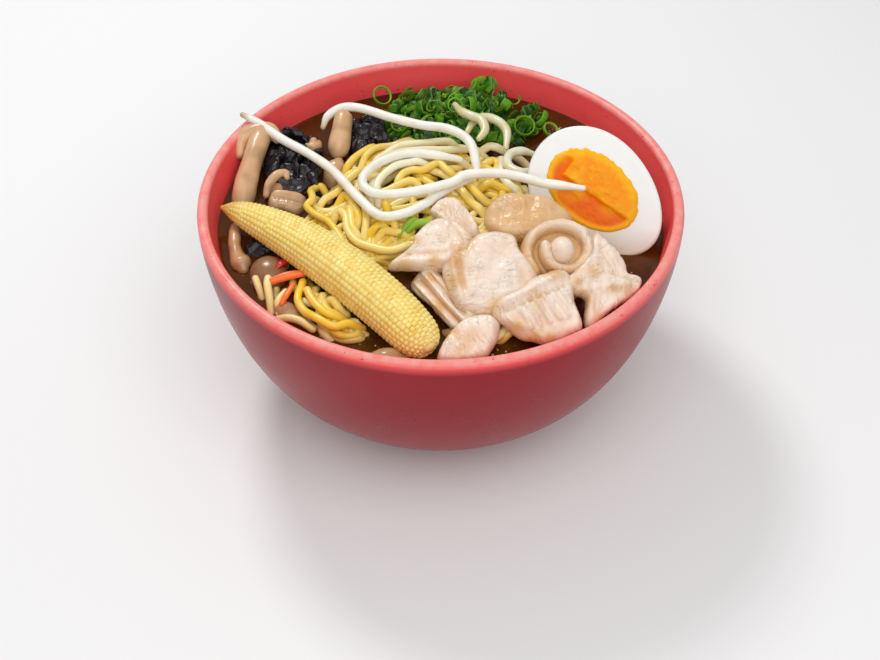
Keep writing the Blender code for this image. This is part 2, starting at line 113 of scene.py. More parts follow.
# a smooth course through points of any number of values
def smoothCourse(points, perSpan):
    points = [Vector(p) for p in points]
    points = [2 * points[0] - points[1], *points, 2 * points[-1] - points[-2]]
    course = []
    for a, b, c, d in zip(points, points[1:], points[2:], points[3:]):
        for step in range(perSpan):
            t = step / perSpan
            bend = (3 * b - 3 * c + d - a) * t**3 + (2 * a - 5 * b + 4 * c - d) * t**2
            course.append(b + ((c - a) * t + bend) / 2)
    course.append(points[-2])
    return course


# a new bmesh with the float layers that the food materials read
def newShape():
    bm = bmesh.new()
    for name in ("tone", "mark"):
        bm.verts.layers.float.new(name)
    bm.verts.layers.float_vector.new("grain")
    return bm


# the layers for how pale a spot is, and how much of the mark colour it has
def toneAndMark(bm):
    return bm.verts.layers.float["tone"], bm.verts.layers.float["mark"]


# lays a grid of faces round stations of (middle, across, up), which closes into a tube
def sweep(bm, stations, sides, tone=0.5, mark=None):
    made = bmesh.ops.create_grid(bm, x_segments=len(stations) - 1, y_segments=sides, size=1.0)
    toneLayer, markLayer = toneAndMark(bm)
    for vert in made["verts"]:
        i = round((vert.co.x + 1) / 2 * (len(stations) - 1))
        turn = (vert.co.y + 1) / 2 * fullTurn
        middle, across, up = stations[i]
        vert.co = middle + across * math.cos(turn) + up * math.sin(turn)
        vert[toneLayer] = tone
        vert[markLayer] = mark(i / (len(stations) - 1), turn) if mark else 0.0
    return made["verts"]


# the stations of a round strand along (x, y, z, radius) points, with ends domed or nearly flat
def strandStations(course, flat=1.0, dome=1.0):
    places = [p.to_3d() for p in course]
    directions = [
        (places[min(i + 1, len(places) - 1)] - places[max(i - 1, 0)]).normalized()
        for i in range(len(places))
    ]
    side = directions[0].orthogonal().normalized()
    stations = []
    for place, direction, point in zip(places, directions, course):
        side = (side - direction * side.dot(direction)).normalized()
        stations.append((place, side * point.w, direction.cross(side) * point.w * flat))
    ends = []
    for at, sign in ((0, -1), (-1, 1)):
        middle, across, up = stations[at]
        outward = directions[at] * sign * across.length * dome
        ends.append([
            (middle + outward * math.sin(a), across * math.cos(a), up * math.cos(a))
            for a in (0.5, 1.0, math.pi / 2)
        ])
    return [*reversed(ends[0]), *stations, *ends[1]]


# the finished piece: put in its place, doubles merged, faces outwards, in metres, riding on the bowl
def finishPiece(bm, name, look, nodes=(), place=None):
    if place:
        bmesh.ops.transform(bm, verts=bm.verts, matrix=place)
    bmesh.ops.remove_doubles(bm, verts=bm.verts, dist=0.002)
    bmesh.ops.recalc_face_normals(bm, faces=bm.faces)
    bmesh.ops.scale(bm, vec=(mm, mm, mm), verts=bm.verts)
    mesh = bpy.data.meshes.new(name)
    bm.to_mesh(mesh)
    bm.free()
    mesh.shade_smooth()
    mesh.set_sharp_from_angle(angle=math.radians(60))
    mesh.materials.append(look)
    piece = bpy.data.objects.new(name, mesh)
    bpy.context.scene.collection.objects.link(piece)
    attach(piece, "root")
    if nodes:
        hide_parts(*nodes)


# glazed stoneware, dipped and fired: satin gloss, a paler lip where the glaze runs thin and as a painted
# highlight, iron specks, and an outside painted darker than the inside as painted shade
def coralGlaze():
    look, tree, shader = newMaterial("coralGlaze", {"Roughness": 0.32, "IOR": 1.33})
    place = addNode(tree, "TexCoord").outputs["Object"]
    height = addNode(tree, "SeparateXYZ", links={"Vector": place}).outputs["Z"]
    clouds = addNode(tree, "TexNoise", values={"Scale": 45.0, "Detail": 3.0}, links={"Vector": place})
    # one glaze, with much darker colours on the outside: painted shade on the outer wall and foot
    inside = addNode(tree, "Mix", rgba, {6: linear("#FA4C4E"), 7: linear("#FF6260")}, {0: clouds})
    outside = addNode(tree, "Mix", rgba, {6: linear("#8C1420"), 7: linear("#9A1D28")}, {0: clouds})
    side = addNode(tree, "Attribute", {"attribute_name": "tone"}).outputs["Fac"]
    body = addNode(tree, "Mix", rgba, links={0: side, 6: outside, 7: inside})
    # the lip is paler where the glaze runs thin, and paler still as a painted highlight
    thin = addNode(tree, "MapRange", values={1: 0.0897, 2: 0.0916}, links={0: height})
    breakUp = addNode(tree, "TexNoise", values={"Scale": 300.0, "Detail": 3.0}, links={"Vector": place})
    lipPatches = addNode(tree, "MapRange", values={1: 0.3, 2: 0.7, 3: 0.45}, links={0: breakUp})
    thinGlazeAndHighlight = addNode(tree, "Math", {"operation": "MULTIPLY"}, links={0: thin, 1: lipPatches})
    paler = addNode(tree, "Mix", rgba, {7: linear("#F0A39A")}, {0: thinGlazeAndHighlight, 6: body})
    # specks about 0.6 mm wide
    grit = addNode(tree, "TexNoise", values={"Scale": 900.0, "Detail": 1.0}, links={"Vector": place})
    speck = addNode(tree, "MapRange", values={1: 0.735, 2: 0.775, 4: 0.75}, links={0: grit})
    colour = addNode(tree, "Mix", rgba, {7: linear("#5A1A1C")}, {0: speck, 6: paler})
    gloss = addNode(tree, "MapRange", values={1: 0.3, 2: 0.7, 3: 0.26, 4: 0.36}, links={0: clouds})
    skin = addNode(tree, "TexNoise", values={"Scale": 220.0, "Detail": 2.0}, links={"Vector": place})
    bump = addNode(tree, "Bump", values={"Strength": 0.08, "Distance": 0.0003}, links={"Height": skin})
    connect(tree, shader, {"Base Color": colour, "Roughness": gloss, "Normal": bump})
    return look


# dark soy and bone broth: a still, thin liquid with a clear gloss, brown where it is shallow
def soyBroth():
    look, tree, shader = newMaterial("soyBroth", {"Roughness": 0.06, "IOR": 1.34, "Alpha": 0.82})
    place = addNode(tree, "TexCoord").outputs["Object"]
    clouds = addNode(tree, "TexNoise", values={"Scale": 70.0, "Detail": 3.0}, links={"Vector": place})
    colour = addNode(tree, "Mix", rgba, {6: linear("#2A1404"), 7: linear("#6A3A0A")}, {0: clouds})
    ripples = addNode(tree, "TexNoise", values={"Scale": 130.0, "Detail": 2.0}, links={"Vector": place})
    bump = addNode(tree, "Bump", values={"Strength": 0.25, "Distance": 0.0006}, links={"Height": ripples})
    connect(tree, shader, {"Base Color": colour, "Normal": bump})
    return look


# food that shares one build: two tones by strand or piece, a mark colour, a fine grain, and a soak
# line near the broth; with a speck colour it also has creases darkened as painted shade, and pepper
def wetFood(name, tones, markColour, grain, grainDepth, soak, values, speckColour=None):
    look, tree, shader = newMaterial(name, values)
    place = addNode(tree, "TexCoord").outputs["Object"]
    height = addNode(tree, "SeparateXYZ", links={"Vector": place}).outputs["Z"]
    tone = addNode(tree, "Attribute", {"attribute_name": "tone"}).outputs["Fac"]
    mark = addNode(tree, "Attribute", {"attribute_name": "mark"}).outputs["Fac"]
    patches = addNode(tree, "TexNoise", values={"Scale": 160.0, "Detail": 4.0}, links={"Vector": place})
    spread = addNode(tree, "MapRange", values={1: 0.3, 2: 0.7, 3: -0.25, 4: 0.25}, links={0: patches})
    paleness = addNode(tree, "Math", {"operation": "ADD", "use_clamp": True}, links={0: tone, 1: spread})
    body = addNode(tree, "Mix", rgba, {6: linear(tones[0]), 7: linear(tones[1])}, {0: paleness})
    marked = addNode(tree, "Mix", rgba, {7: linear(markColour)}, {0: mark, 6: body})
    low, high, soakColour, amount = soak
    wet = addNode(tree, "MapRange", values={1: low * mm, 2: high * mm, 3: amount, 4: 0.0}, links={0: height})
    colour = addNode(tree, "Mix", rgba, {7: linear(soakColour)}, {0: wet, 6: marked})
    relief = addNode(tree, "TexNoise", values={"Scale": 1000 / grain, "Detail": 3.0},
                     links={"Vector": place})
    if speckColour:
        # hairline creases across the fibres, in patches, bumped in and darkened with painted shade
        lie = addNode(tree, "Attribute", {"attribute_name": "grain"}).outputs["Vector"]
        slow = addNode(tree, "TexNoise", values={"Scale": 0.3, "Detail": 2.0, "Distortion": 0.4},
                       links={"Vector": lie})
        centred = addNode(tree, "Math", {"operation": "SUBTRACT"}, {1: 0.5}, {0: slow})
        apart = addNode(tree, "Math", {"operation": "ABSOLUTE"}, links={0: centred})
        line = addNode(tree, "MapRange", values={1: 0.0, 2: 0.03, 3: 1.0, 4: 0.0}, links={0: apart})
        within = addNode(tree, "MapRange", values={1: 0.42, 2: 0.6}, links={0: patches})
        crease = addNode(tree, "Math", {"operation": "MULTIPLY"}, links={0: line, 1: within})
        deep = addNode(tree, "Math", {"operation": "MULTIPLY"}, {1: 1.5}, {0: crease})
        relief = addNode(tree, "Math", {"operation": "SUBTRACT"}, links={0: relief, 1: deep})
        shade = addNode(tree, "Math", {"operation": "MULTIPLY"}, {1: 0.22}, {0: crease})
        colour = addNode(tree, "Mix", rgba, {7: linear("#B07C50")}, {0: shade, 6: colour})
        # ground pepper, about 0.4 mm
        pepper = addNode(tree, "TexNoise", values={"Scale": 1100.0, "Detail": 1.0}, links={"Vector": place})
        speck = addNode(tree, "MapRange", values={1: 0.73, 2: 0.77, 4: 0.55}, links={0: pepper})
        colour = addNode(tree, "Mix", rgba, {7: linear(speckColour)}, {0: speck, 6: colour})
    bump = addNode(tree, "Bump", values={"Strength": 0.5, "Distance": grainDepth * mm},
                   links={"Height": relief})
    connect(tree, shader, {"Base Color": colour, "Normal": bump})
    return look


# what light does inside moist food: a little of it comes out again nearby
def soft(weight, red, green, blue, roughness, coat=0.0, sheen=0.5):
    return {
        "Specular IOR Level": sheen,
        "Subsurface Weight": weight, "Subsurface Radius": (red, green, blue), "Subsurface Scale": mm,
        "Roughness": roughness, "IOR": 1.4, "Coat Weight": coat, "Coat Roughness": 0.12,
    }


glaze = coralGlaze()
broth = soyBroth()
# wheat noodles coloured with egg: yellow, paler where the dough is thick, a thin film of soup
noodleLook = wetFood("eggNoodle", ("#F2CA3A", "#F8E8A6"), "#F6EBC8", 0.8, 0.08, (77.5, 84.0, "#A06C18", 0.7),
                     soft(0.12, 2.0, 1.2, 0.4, 0.36, 0.25))
# the pale strands among them, nearly white
paleLook = wetFood("paleNoodle", ("#E9DCA6", "#F5EFD6"), "#F6EBC8", 0.8, 0.08, (84.0, 92.0, "#D8B860", 0.55),
                   soft(0.15, 2.0, 1.6, 0.9, 0.36, 0.2))
# what shows between the strands: soup-soaked noodle, coloured dark as painted shade
depthLook = wetFood("noodleDepth", ("#6E4410", "#A8761E"), "#6E4410", 0.8, 0.2, (76.0, 86.0, "#4A2A08", 0.8),
                    soft(0.02, 1.0, 0.8, 0.2, 0.5))
# raw mung bean shoots: white, waxy and slightly see-through
sproutLook = wetFood("beanSprout", ("#D3CC98", "#F7F4EC"), "#B98A5A", 1.5, 0.05,
                     (84.0, 93.0, "#E9DC9C", 0.4), soft(0.25, 2.0, 2.0, 1.6, 0.3, 0.3))
# boiled egg white: smooth, dense and milky, stained at the waterline
whiteLook = wetFood("boiledWhite", ("#F1F1EE", "#F7F6F4"), "#C9A868", 3.0, 0.03,
                    (79.5, 87.5, "#C4984C", 0.5), soft(0.25, 1.5, 1.4, 1.2, 0.28, 0.15))
# soft-boiled yolk: sticky and glossy, deep orange in its middle and yellow at its set rim
yolkLook = wetFood("softYolk", ("#FF9600", "#FFB818"), "#F26A00", 1.2, 0.14, (60.0, 61.0, "#FFA500", 0.0),
                   soft(0.08, 2.5, 1.0, 0.1, 0.26, 0.05, 0.16))
# baby corn: rows of soft beads, paler on their tops as painted highlight and darker between them as painted
# shade, browned at the tip
cornLook = wetFood("babyCorn", ("#EEC24C", "#FCEE96"), "#D09A38", 0.9, 0.05, (76.0, 80.0, "#B98A35", 0.4),
                   soft(0.15, 1.8, 1.3, 0.5, 0.38, 0.15))
# poached chicken breast: matt, pale pink cream, with fibres and a light stain of soup
chickenLook = wetFood("poachedChicken", ("#EDCFB6", "#F8E9DA"), "#D9A456", 0.7, 0.4,
                      (79.0, 87.0, "#C59A68", 0.7), soft(0.18, 2.4, 1.4, 1.0, 0.38, 0.3), "#6B5346")
# brown beech mushroom: smooth and slippery, tan with a darker skin
mushroomLook = wetFood("beechMushroom", ("#AC7E50", "#DDB388"), "#80583A", 1.6, 0.1,
                       (75.0, 84.5, "#553610", 0.75), soft(0.12, 2.0, 1.2, 0.7, 0.3, 0.35))
# wood ear: near-black jelly with a wet gloss
earLook = wetFood("woodEar", ("#0C090C", "#241C22"), "#463A44", 0.8, 0.3, (77.0, 82.0, "#0E0806", 0.5),
                  soft(0.03, 1.0, 0.8, 0.8, 0.24, 0.1))
# spring onion: waxy green outside, pale green where it is cut
scallionLook = wetFood("springOnion", ("#0E4208", "#5C9E12"), "#B2D64A", 0.7, 0.08,
                       (79.0, 84.0, "#20320A", 0.6), soft(0.08, 0.8, 1.4, 0.2, 0.36, 0.04, 0.35))
# carrot: plain orange with a wet gloss
carrotLook = wetFood("carrot", ("#F2641A", "#FF8436"), "#D94A10", 0.8, 0.06, (78.0, 82.0, "#A84310", 0.4),
                     soft(0.15, 2.0, 0.8, 0.3, 0.32, 0.3))
# red pepper: dark, thin, shiny skin
pepperLook = wetFood("redPepper", ("#A80E10", "#C8241C"), "#7C0808", 0.8, 0.06, (77.0, 80.0, "#4A0A06", 0.6),
                     soft(0.1, 1.6, 0.5, 0.3, 0.25, 0.5))
# tiny rings of oil and froth: clear amber with a hard gloss
oilLook = wetFood("oilBubble", ("#8A5A22", "#D9B071"), "#FFF1D0", 2.0, 0.02, (60.0, 61.0, "#8A5A22", 0.0),
                  {"Roughness": 0.05, "IOR": 1.45})
print("materials ready")


# the bowl: its sides are rounded curves whose powers say how full they are, and its wall thins into the lip
bowlSizes = {
    "rimRadius": 95.0, "height": 92.0, "lipRadius": 2.2, "wall": 6.6, "footRadius": 37.0, "steps": 144,
    "footWidth": 5.0, "footHeight": 5.5, "floor": 8.0, "bodyEnd": 4.4, "thinning": 6.0,
    "drop": 1.64, "outsideFull": 4.1, "insideFull": 3.9,
}
lipHeight = bowlSizes["height"] - bowlSizes["lipRadius"]
bodyDepth = lipHeight - bowlSizes["bodyEnd"]
floorDepth = lipHeight - bowlSizes["footHeight"] - bowlSizes["floor"]


def outerRadius(depth):
    t = min(depth / bodyDepth, 1.0)
    return bowlSizes["rimRadius"] * (1 - t ** bowlSizes["drop"]) ** (1 / bowlSizes["outsideFull"])


def innerRadius(depth):
    size = bowlSizes
    t = min(depth / floorDepth, 1.0)
    flare = (size["wall"] - 2 * size["lipRadius"]) * math.exp(-depth / size["thinning"])
    return (size["rimRadius"] - size["wall"]) * (1 - t ** size["drop"]) ** (1 / size["insideFull"]) + flare


# points down a wall, closer together at the bottom
def wallPoints(radiusAt, deepest, count):
    drops = [0.9995 * deepest * math.sin(math.pi / 2 * i / count) for i in range(count + 1)]
    return [(radiusAt(drop), lipHeight - drop) for drop in drops]


# spins a profile of (radius, height) points round the upright axis
def spinProfile(profile, steps):
    bm = newShape()
    verts = [bm.verts.new((r, 0, z)) for r, z in profile]
    edges = [bm.edges.new(pair) for pair in zip(verts, verts[1:])]
    bmesh.ops.spin(bm, geom=verts + edges, cent=(0, 0, 0), axis=(0, 0, 1), angle=fullTurn,
                   steps=steps, use_merge=True)
    return bm


def makeBowl():
    size = bowlSizes
    lipMiddle = size["rimRadius"] - size["lipRadius"]
    lip = [
        (lipMiddle + size["lipRadius"] * math.cos(a), lipHeight + size["lipRadius"] * math.sin(a))
        for a in (math.radians(degrees) for degrees in range(165, 0, -15))
    ]
    # the foot ring's section, down its outside, across and up its inside
    foot, inFoot = size["footRadius"], size["footRadius"] - size["footWidth"]
    ring = [
        (foot + 1.6, size["footHeight"] + 0.3), (foot + 0.5, size["footHeight"] - 0.6), (foot, 3.0),
        (foot, 0.9), (foot - 0.25, 0.3), (foot - 0.8, 0.0), (inFoot + 0.8, 0.0), (inFoot + 0.25, 0.3),
        (inFoot, 0.9), (inFoot - 0.5, 2.6), (inFoot - 1.6, 3.7),
    ]
    outside = [p for p in wallPoints(outerRadius, bodyDepth, 40) if p[0] > foot + 3.0]
    inside = wallPoints(innerRadius, floorDepth, 34)
    floorHeight = lipHeight - floorDepth
    profile = [(0.0, floorHeight), *reversed(inside), *lip, *outside, *ring, (0.0, size["footHeight"] - 1.5)]
    bm = spinProfile(profile, size["steps"])
    toneLayer = bm.verts.layers.float["tone"]
    # tone 1 gives the inside colour to the inner wall and lip; tone 0 gives the darker outside colour,
    # painted shade, to the outer wall and foot
    for vert in bm.verts:
        depth = lipHeight - vert.co.z
        inner = vert.co.xy.length < (outerRadius(max(depth, 0.0)) + innerRadius(max(depth, 0.0))) / 2
        vert[toneLayer] = 1.0 if inner and vert.co.z > floorHeight - 1 else smoothStep(-depth, -3.0, 1.0)
    finishPiece(bm, "glazedBowl", glaze, ["bowl"])


makeBowl()
print("bowl turned")


# the broth reaches just into the wall and climbs a little where it meets it
brothSizes = {"level": 79.0, "inWall": 0.4, "meniscus": 0.7, "steps": 128}


def makeBroth():
    level = brothSizes["level"]
    wall = [(r + brothSizes["inWall"], z) for r, z in wallPoints(innerRadius, floorDepth, 30) if z < level]
    top = wall[0][0]
    surface = [(0.0, level)]
    for back in (40.0, 12.0, 3.0, 1.6, 0.9, 0.4):
        surface.append((top - back, level + brothSizes["meniscus"] * math.exp(-back / 0.8)))
    bm = spinProfile([*surface, *wall, (0.0, wall[-1][1])], brothSizes["steps"])
    finishPiece(bm, "soyBrothPool", broth, ["broth"])


makeBroth()
print("broth poured")


# the noodles: a low core, and strands that lie on it and on one another; a strand is left out where
# the heap is full, and none rises more than its ceiling above the heap's own top
noodleSizes = {
    "radius": 1.65, "paleRadius": 1.75, "sides": 9, "strands": 380, "coreDrop": 7.4, "seed": 11,
    "centre": (-5.0, -15.0), "reach": (58, 53, 56, 58, 58, 57, 47, 60, 68, 64, 64, 65),
    "full": -3.7, "looseCeiling": -0.6, "ceiling": 2.8, "paleCeiling": 4.5, "step": 1.4, "tuck": 4.0,
    "stiff": 0.45,
}


# a round hill's height at a point
def hill(x, y, middle, height, spread):
    away = math.hypot(x - middle[0], y - middle[1]) / spread
    return height * math.exp(-away * away)


# the heap's own top: two humps, and a low one in front of the corn
def noodleTop(x, y):
    rise = hill(x, y, (-8, 12), 13.5, 34) + hill(x, y, (24, -34), 11.0, 34)
    return brothSizes["level"] + 1.5 + rise + hill(x, y, (-44, -56), 4.0, 20)


# a smooth value at an angle from evenly spaced ones given round the full circle
def aroundCircle(values, angle):
    spot = (angle / fullTurn) % 1.0 * len(values)
    step = int(spot)
    ease = (1 - math.cos(math.pi * (spot - step))) / 2
    return values[step % len(values)] * (1 - ease) + values[(step + 1) % len(values)] * ease


def makeNoodleCore():
    bm = newShape()
    bmesh.ops.create_uvsphere(bm, u_segments=64, v_segments=32, radius=1.0)
    edge = brothSizes["level"] - 6.0
    for vert in bm.verts:
        angle = math.atan2(vert.co.y, vert.co.x)
        out = (aroundCircle(noodleSizes["reach"], angle) - 6.0) * math.hypot(vert.co.x, vert.co.y)
        x, y = pointAt(noodleSizes["centre"], out, angle)
        top = noodleTop(x, y) - noodleSizes["coreDrop"]
        z = edge + (top - edge) * max(vert.co.z, 0.0) ** 0.7 + min(vert.co.z, 0.0) * 18.0
        vert.co = (x, y, z + 0.5 * math.sin(x / 1.1 + y / 3.0))
    finishPiece(bm, "noodleCore", depthLook)


# the height of what already lies in the heap, in cells of one millimetre
heapField = {}


def fieldAt(cell):
    if cell not in heapField:
        heapField[cell] = noodleTop(*cell) - noodleSizes["coreDrop"]
    return heapField[cell]


# stretches that no strand enters: under the corn ear, gaps of open broth, and under the spring onion
clearings = [
    ((-74, -9), (-44, -34.5), 5.5), ((-44, -34.5), (-7, -74), 7.5), ((-19, -33.5), (-9, -35.5), 4.5),
    ((-20, -37), (-13, -42), 6.0), ((-13, -42), (2, -64), 6.5), ((-40, -75.5), (-14, -77), 6.5),
    ((-40, 60), (45, 60), 16.0),
]


# the runs of a course that lie outside the clearings
def openRuns(flat):
    runs = [[]]
    for point in flat:
        if any(distanceTo(*point, start, end) < reach for start, end, reach in clearings):
            runs.append([])
        else:
            runs[-1].append(point)
    return [run for run in runs if len(run) > 4]


# lays a flat course on the heap: it rests on what is under it, and the heap grows by it
def layOn(flat, radius, ceiling):
    stiff = noodleSizes["stiff"]
    reach = int(radius) + 1
    span = range(-reach, reach + 1)
    under = [(i, j) for i in span for j in span if i * i + j * j <= radius**2 + 1]
    heights = []
    for x, y in flat:
        heights.append(max(fieldAt((round(x) + i, round(y) + j)) for i, j in under) + radius * 0.8)
    step = [math.dist(a, b) for a, b in zip(flat, flat[1:])]
    for i in range(1, len(flat)):
        heights[i] = max(heights[i], heights[i - 1] - stiff * step[i - 1])
    for i in range(len(flat) - 2, -1, -1):
        heights[i] = max(heights[i], heights[i + 1] - stiff * step[i])
    for _ in range(8):
        heights = [
            (heights[max(i - 1, 0)] + 2 * heights[i] + heights[min(i + 1, len(heights) - 1)]) / 4
            for i in range(len(heights))
        ]
    # no higher than the heap, and the ends tucked in
    length = [0.0]
    for part in step:
        length.append(length[-1] + part)
    for i, (x, y) in enumerate(flat):
        tuck = 1 - smoothStep(min(length[i], length[-1] - length[i]), 0.0, 6.0)
        heights[i] = min(heights[i], noodleTop(x, y) + ceiling - radius) - noodleSizes["tuck"] * tuck
    for (x, y), z in zip(flat, heights):
        for i in span:
            for j in span:
                cell = (round(x) + i, round(y) + j)
                away = math.dist(cell, (x, y))
                if away < radius:
                    heapField[cell] = max(fieldAt(cell), z + math.sqrt(radius**2 - away**2))
    return heights


# wanders over the heap from a start, turning slowly, and back inside where it nears the outline
def wanderingCourse(draw, start, heading, length):
    flat = [start]
    curl = draw.uniform(-0.06, 0.06)
    middle, step = noodleSizes["centre"], noodleSizes["step"]
    for _ in range(int(length / step)):
        x, y = flat[-1]
        angle = math.atan2(y - middle[1], x - middle[0])
        room = aroundCircle(noodleSizes["reach"], angle) - 3.0 - math.dist(flat[-1], middle)
        curl = max(-0.13, min(0.13, curl + draw.uniform(-0.022, 0.022)))
        if room < 7:
            inward = (angle + math.pi - heading + math.pi) % fullTurn - math.pi
            curl = math.copysign(0.14, inward)
        heading += curl * step
        flat.append(pointAt((x, y), step, heading))
    return flat


# strands that can be followed by eye, lowest first, each a course across the top
noodleCourses = [
    [(-52, -34), (-52, -43), (-53, -52), (-49, -59), (-44, -64), (-39, -67), (-34, -65), (-26, -62)],
    [(-51, -43), (-49, -50), (-46, -56), (-41, -61), (-34, -61)],
    [(-48, -47), (-46, -42), (-43, -45), (-41, -52), (-36, -56), (-28, -57)],
    [(-45, -53), (-43, -47), (-40, -43), (-36, -42)],
    [(-63, -52), (-62, -45), (-61, -40)],
    [(-69, -44), (-68, -39), (-70, -34)],
    [(-50, 2), (-46, 6), (-41, 8), (-38, 13), (-33, 18), (-28, 23)],
    [(-46, -13), (-42, -14), (-39, -20), (-34, -25), (-27, -30)],
    [(-33, 24), (-28, 33), (-22, 38), (-16, 40), (-8, 41)],
    [(-40, 20), (-36, 28), (-31, 34), (-24, 40)],
    [
        (-45, 13), (-49, 18), (-52, 14), (-51, 7), (-53, 3), (-50, -2), (-44, -8), (-40, -15), (-36, -23),
        (-28, -33),
    ],
    [(-43, -6), (-40, -3), (-37, -7), (-36, -14), (-32, -21), (-26, -25), (-18, -28), (-8, -25)],
    [(-38, 1), (-36, -2), (-35, -8), (-34, -14), (-30, -20)],
    [(-32, 4), (-30, -3), (-29, -9), (-29, -14), (-30, -20)],
    [(-34, 8), (-35, 0), (-32, -8), (-33, -15)],
    [(-42, 2), (-38, 5), (-35, 2), (-30, 6), (-24, 3)],
    [(-31, 21), (-35, 18), (-38, 15), (-37, 9), (-32, 6)],
    [(-29, -11), (-25, -11), (-22, -13), (-18, -15), (-17, -20)],
    [(-30, -18), (-26, -16), (-23, -15), (-18, -18)],
    [(-26, -21), (-22, -18), (-16, -20), (-10, -20)],
    [(-22, 0), (-21, -7), (-20, -13)],
    [(-29, 2), (-22, 1), (-17, 3), (-11, 5), (-6, 1)],
    [(2, 7), (8, 0), (11, -6), (15, -10), (19, -13)],
    [(5, 11), (11, 4), (15, -2), (19, -6), (24, -1), (24, 8)],
    [(-18, -1), (-16, 7), (-12, 11), (-7, 11), (-1, 16), (3, 11), (8, 9)],
    [(14, 6), (20, 8), (27, 6), (33, 8)],
    [(10, 16), (16, 20), (23, 17), (30, 19)],
    [(27, -4), (31, 1), (30, 9), (26, 14)],
    [(20, 14), (22, 19), (23, 25), (21, 27), (18, 24), (14, 25)],
]
# bean shoots and pale strands under the long ones
paleCourses = [
    [(-29, 21), (-23, 27), (-16, 33), (-7, 36), (2, 39), (9, 38)],
    [(-27, 16), (-23, 22), (-16, 26), (-8, 27), (0, 28), (7, 31), (13, 34), (20, 33)],
    [(-27, -3), (-27, 4), (-22, 12), (-16, 17), (-8, 21), (2, 22), (12, 21)],
    [(-24, -4), (-25, 4), (-20, 11), (-12, 15), (-4, 16)],
    [(15, 36), (20, 37), (26, 36), (33, 34), (38, 29), (41, 24)],
    [(23, 32), (25, 25), (24, 17), (27, 8), (33, 3)],
]


# a smooth flat course through a few points
def flatCourse(points):
    return [(p.x, p.y) for p in smoothCourse(points, 6)]


# one strand, in as many runs as the clearings leave of it
def layStrand(bm, flat, radius, tone, ceiling):
    for run in openRuns(flat):
        heights = layOn(run, radius, ceiling)
        course = [Vector((x, y, z, radius)) for (x, y), z in zip(run, heights)]
        sweep(bm, strandStations(course, 0.94), noodleSizes["sides"], tone)


def makeNoodles():
    size = noodleSizes
    draw = random.Random(size["seed"])
    bm = newShape()
    laid = 0
    for _ in range(size["strands"]):
        angle = draw.uniform(0, fullTurn)
        out = aroundCircle(size["reach"], angle) * math.sqrt(draw.uniform(0.0, 0.85))
        heading = math.radians(draw.gauss(50, 40)) + (math.pi if draw.random() < 0.5 else 0.0)
        flat = wanderingCourse(draw, pointAt(size["centre"], out, angle), heading, draw.uniform(35, 75))
        tops = [fieldAt((round(x), round(y))) - noodleTop(x, y) for x, y in flat]
        if sum(tops) / len(tops) <= size["full"]:
            radius = size["radius"] * draw.uniform(0.9, 1.02)
            layStrand(bm, flat, radius, draw.random(), size["looseCeiling"])
            laid += 1
    for course in noodleCourses:
        radius = size["radius"] * draw.uniform(0.95, 1.05)
        layStrand(bm, flatCourse(course), radius, draw.uniform(0.0, 0.55), size["ceiling"])
    print("noodle strands laid:", laid + len(noodleCourses))
    finishPiece(bm, "noodleStrands", noodleLook, ["noodles"])
    bm = newShape()
    for course in paleCourses:
        layStrand(bm, flatCourse(course), size["paleRadius"], draw.uniform(0.3, 0.9), size["paleCeiling"])
    finishPiece(bm, "paleStrands", paleLook)


# strands that hang in the broth along the front left, just under its surface
sunkenSizes = {"strands": 34, "seed": 31, "points": 14, "step": 1.8, "radius": 1.6, "furthest": 82}
# cut ends that stand up beside the carrot
paleEnds = [
    [(-63, -54, 78.5, 1.5), (-64, -48, 80.5, 1.6), (-65, -43, 82.5, 1.6), (-65, -40, 83.5, 1.5)],
    [(-60, -55, 79.0, 1.5), (-60.5, -50, 81.0, 1.6), (-58, -46, 82.0, 1.5)],
    [(-67, -46, 78.5, 1.4), (-68.5, -42, 80.5, 1.5), (-70, -38, 81.5, 1.5)],
    [(-62, -58, 78.5, 1.5), (-57, -58, 80.0, 1.6), (-52, -60, 80.5, 1.6), (-47, -64, 80.0, 1.5)],
]


def makeSunkenNoodles():
    size = sunkenSizes
    draw = random.Random(size["seed"])
    bm = newShape()
    for k in range(size["strands"]):
        angle = math.radians(draw.uniform(196, 268))
        out = draw.uniform(56, 78)
        heading = angle + math.pi / 2 + draw.gauss(0, 0.6)
        x, y = pointAt((0, 0), out, angle)
        z = brothSizes["level"] - draw.uniform(0.6, 3.4) - 2.4 * smoothStep(angle, 3.9, 4.25)
        course = []
        for i in range(size["points"]):
            course.append(Vector((x, y, z + 0.7 * math.sin(i * 0.8 + k), size["radius"])))
            x, y = pointAt((x, y), size["step"], heading)
            heading += 0.035 + draw.uniform(-0.15, 0.15)
            if math.hypot(x, y) > size["furthest"]:
                break
        if len(course) > 4:
            sweep(bm, strandStations(course), noodleSizes["sides"], draw.random())
    for route in paleEnds:
        sweep(bm, strandStations(smoothCourse(route, 5)), noodleSizes["sides"], 0.95)
    finishPiece(bm, "sunkenNoodles", noodleLook)


makeNoodleCore()
makeSunkenNoodles()
makeNoodles()
print("noodles heaped")


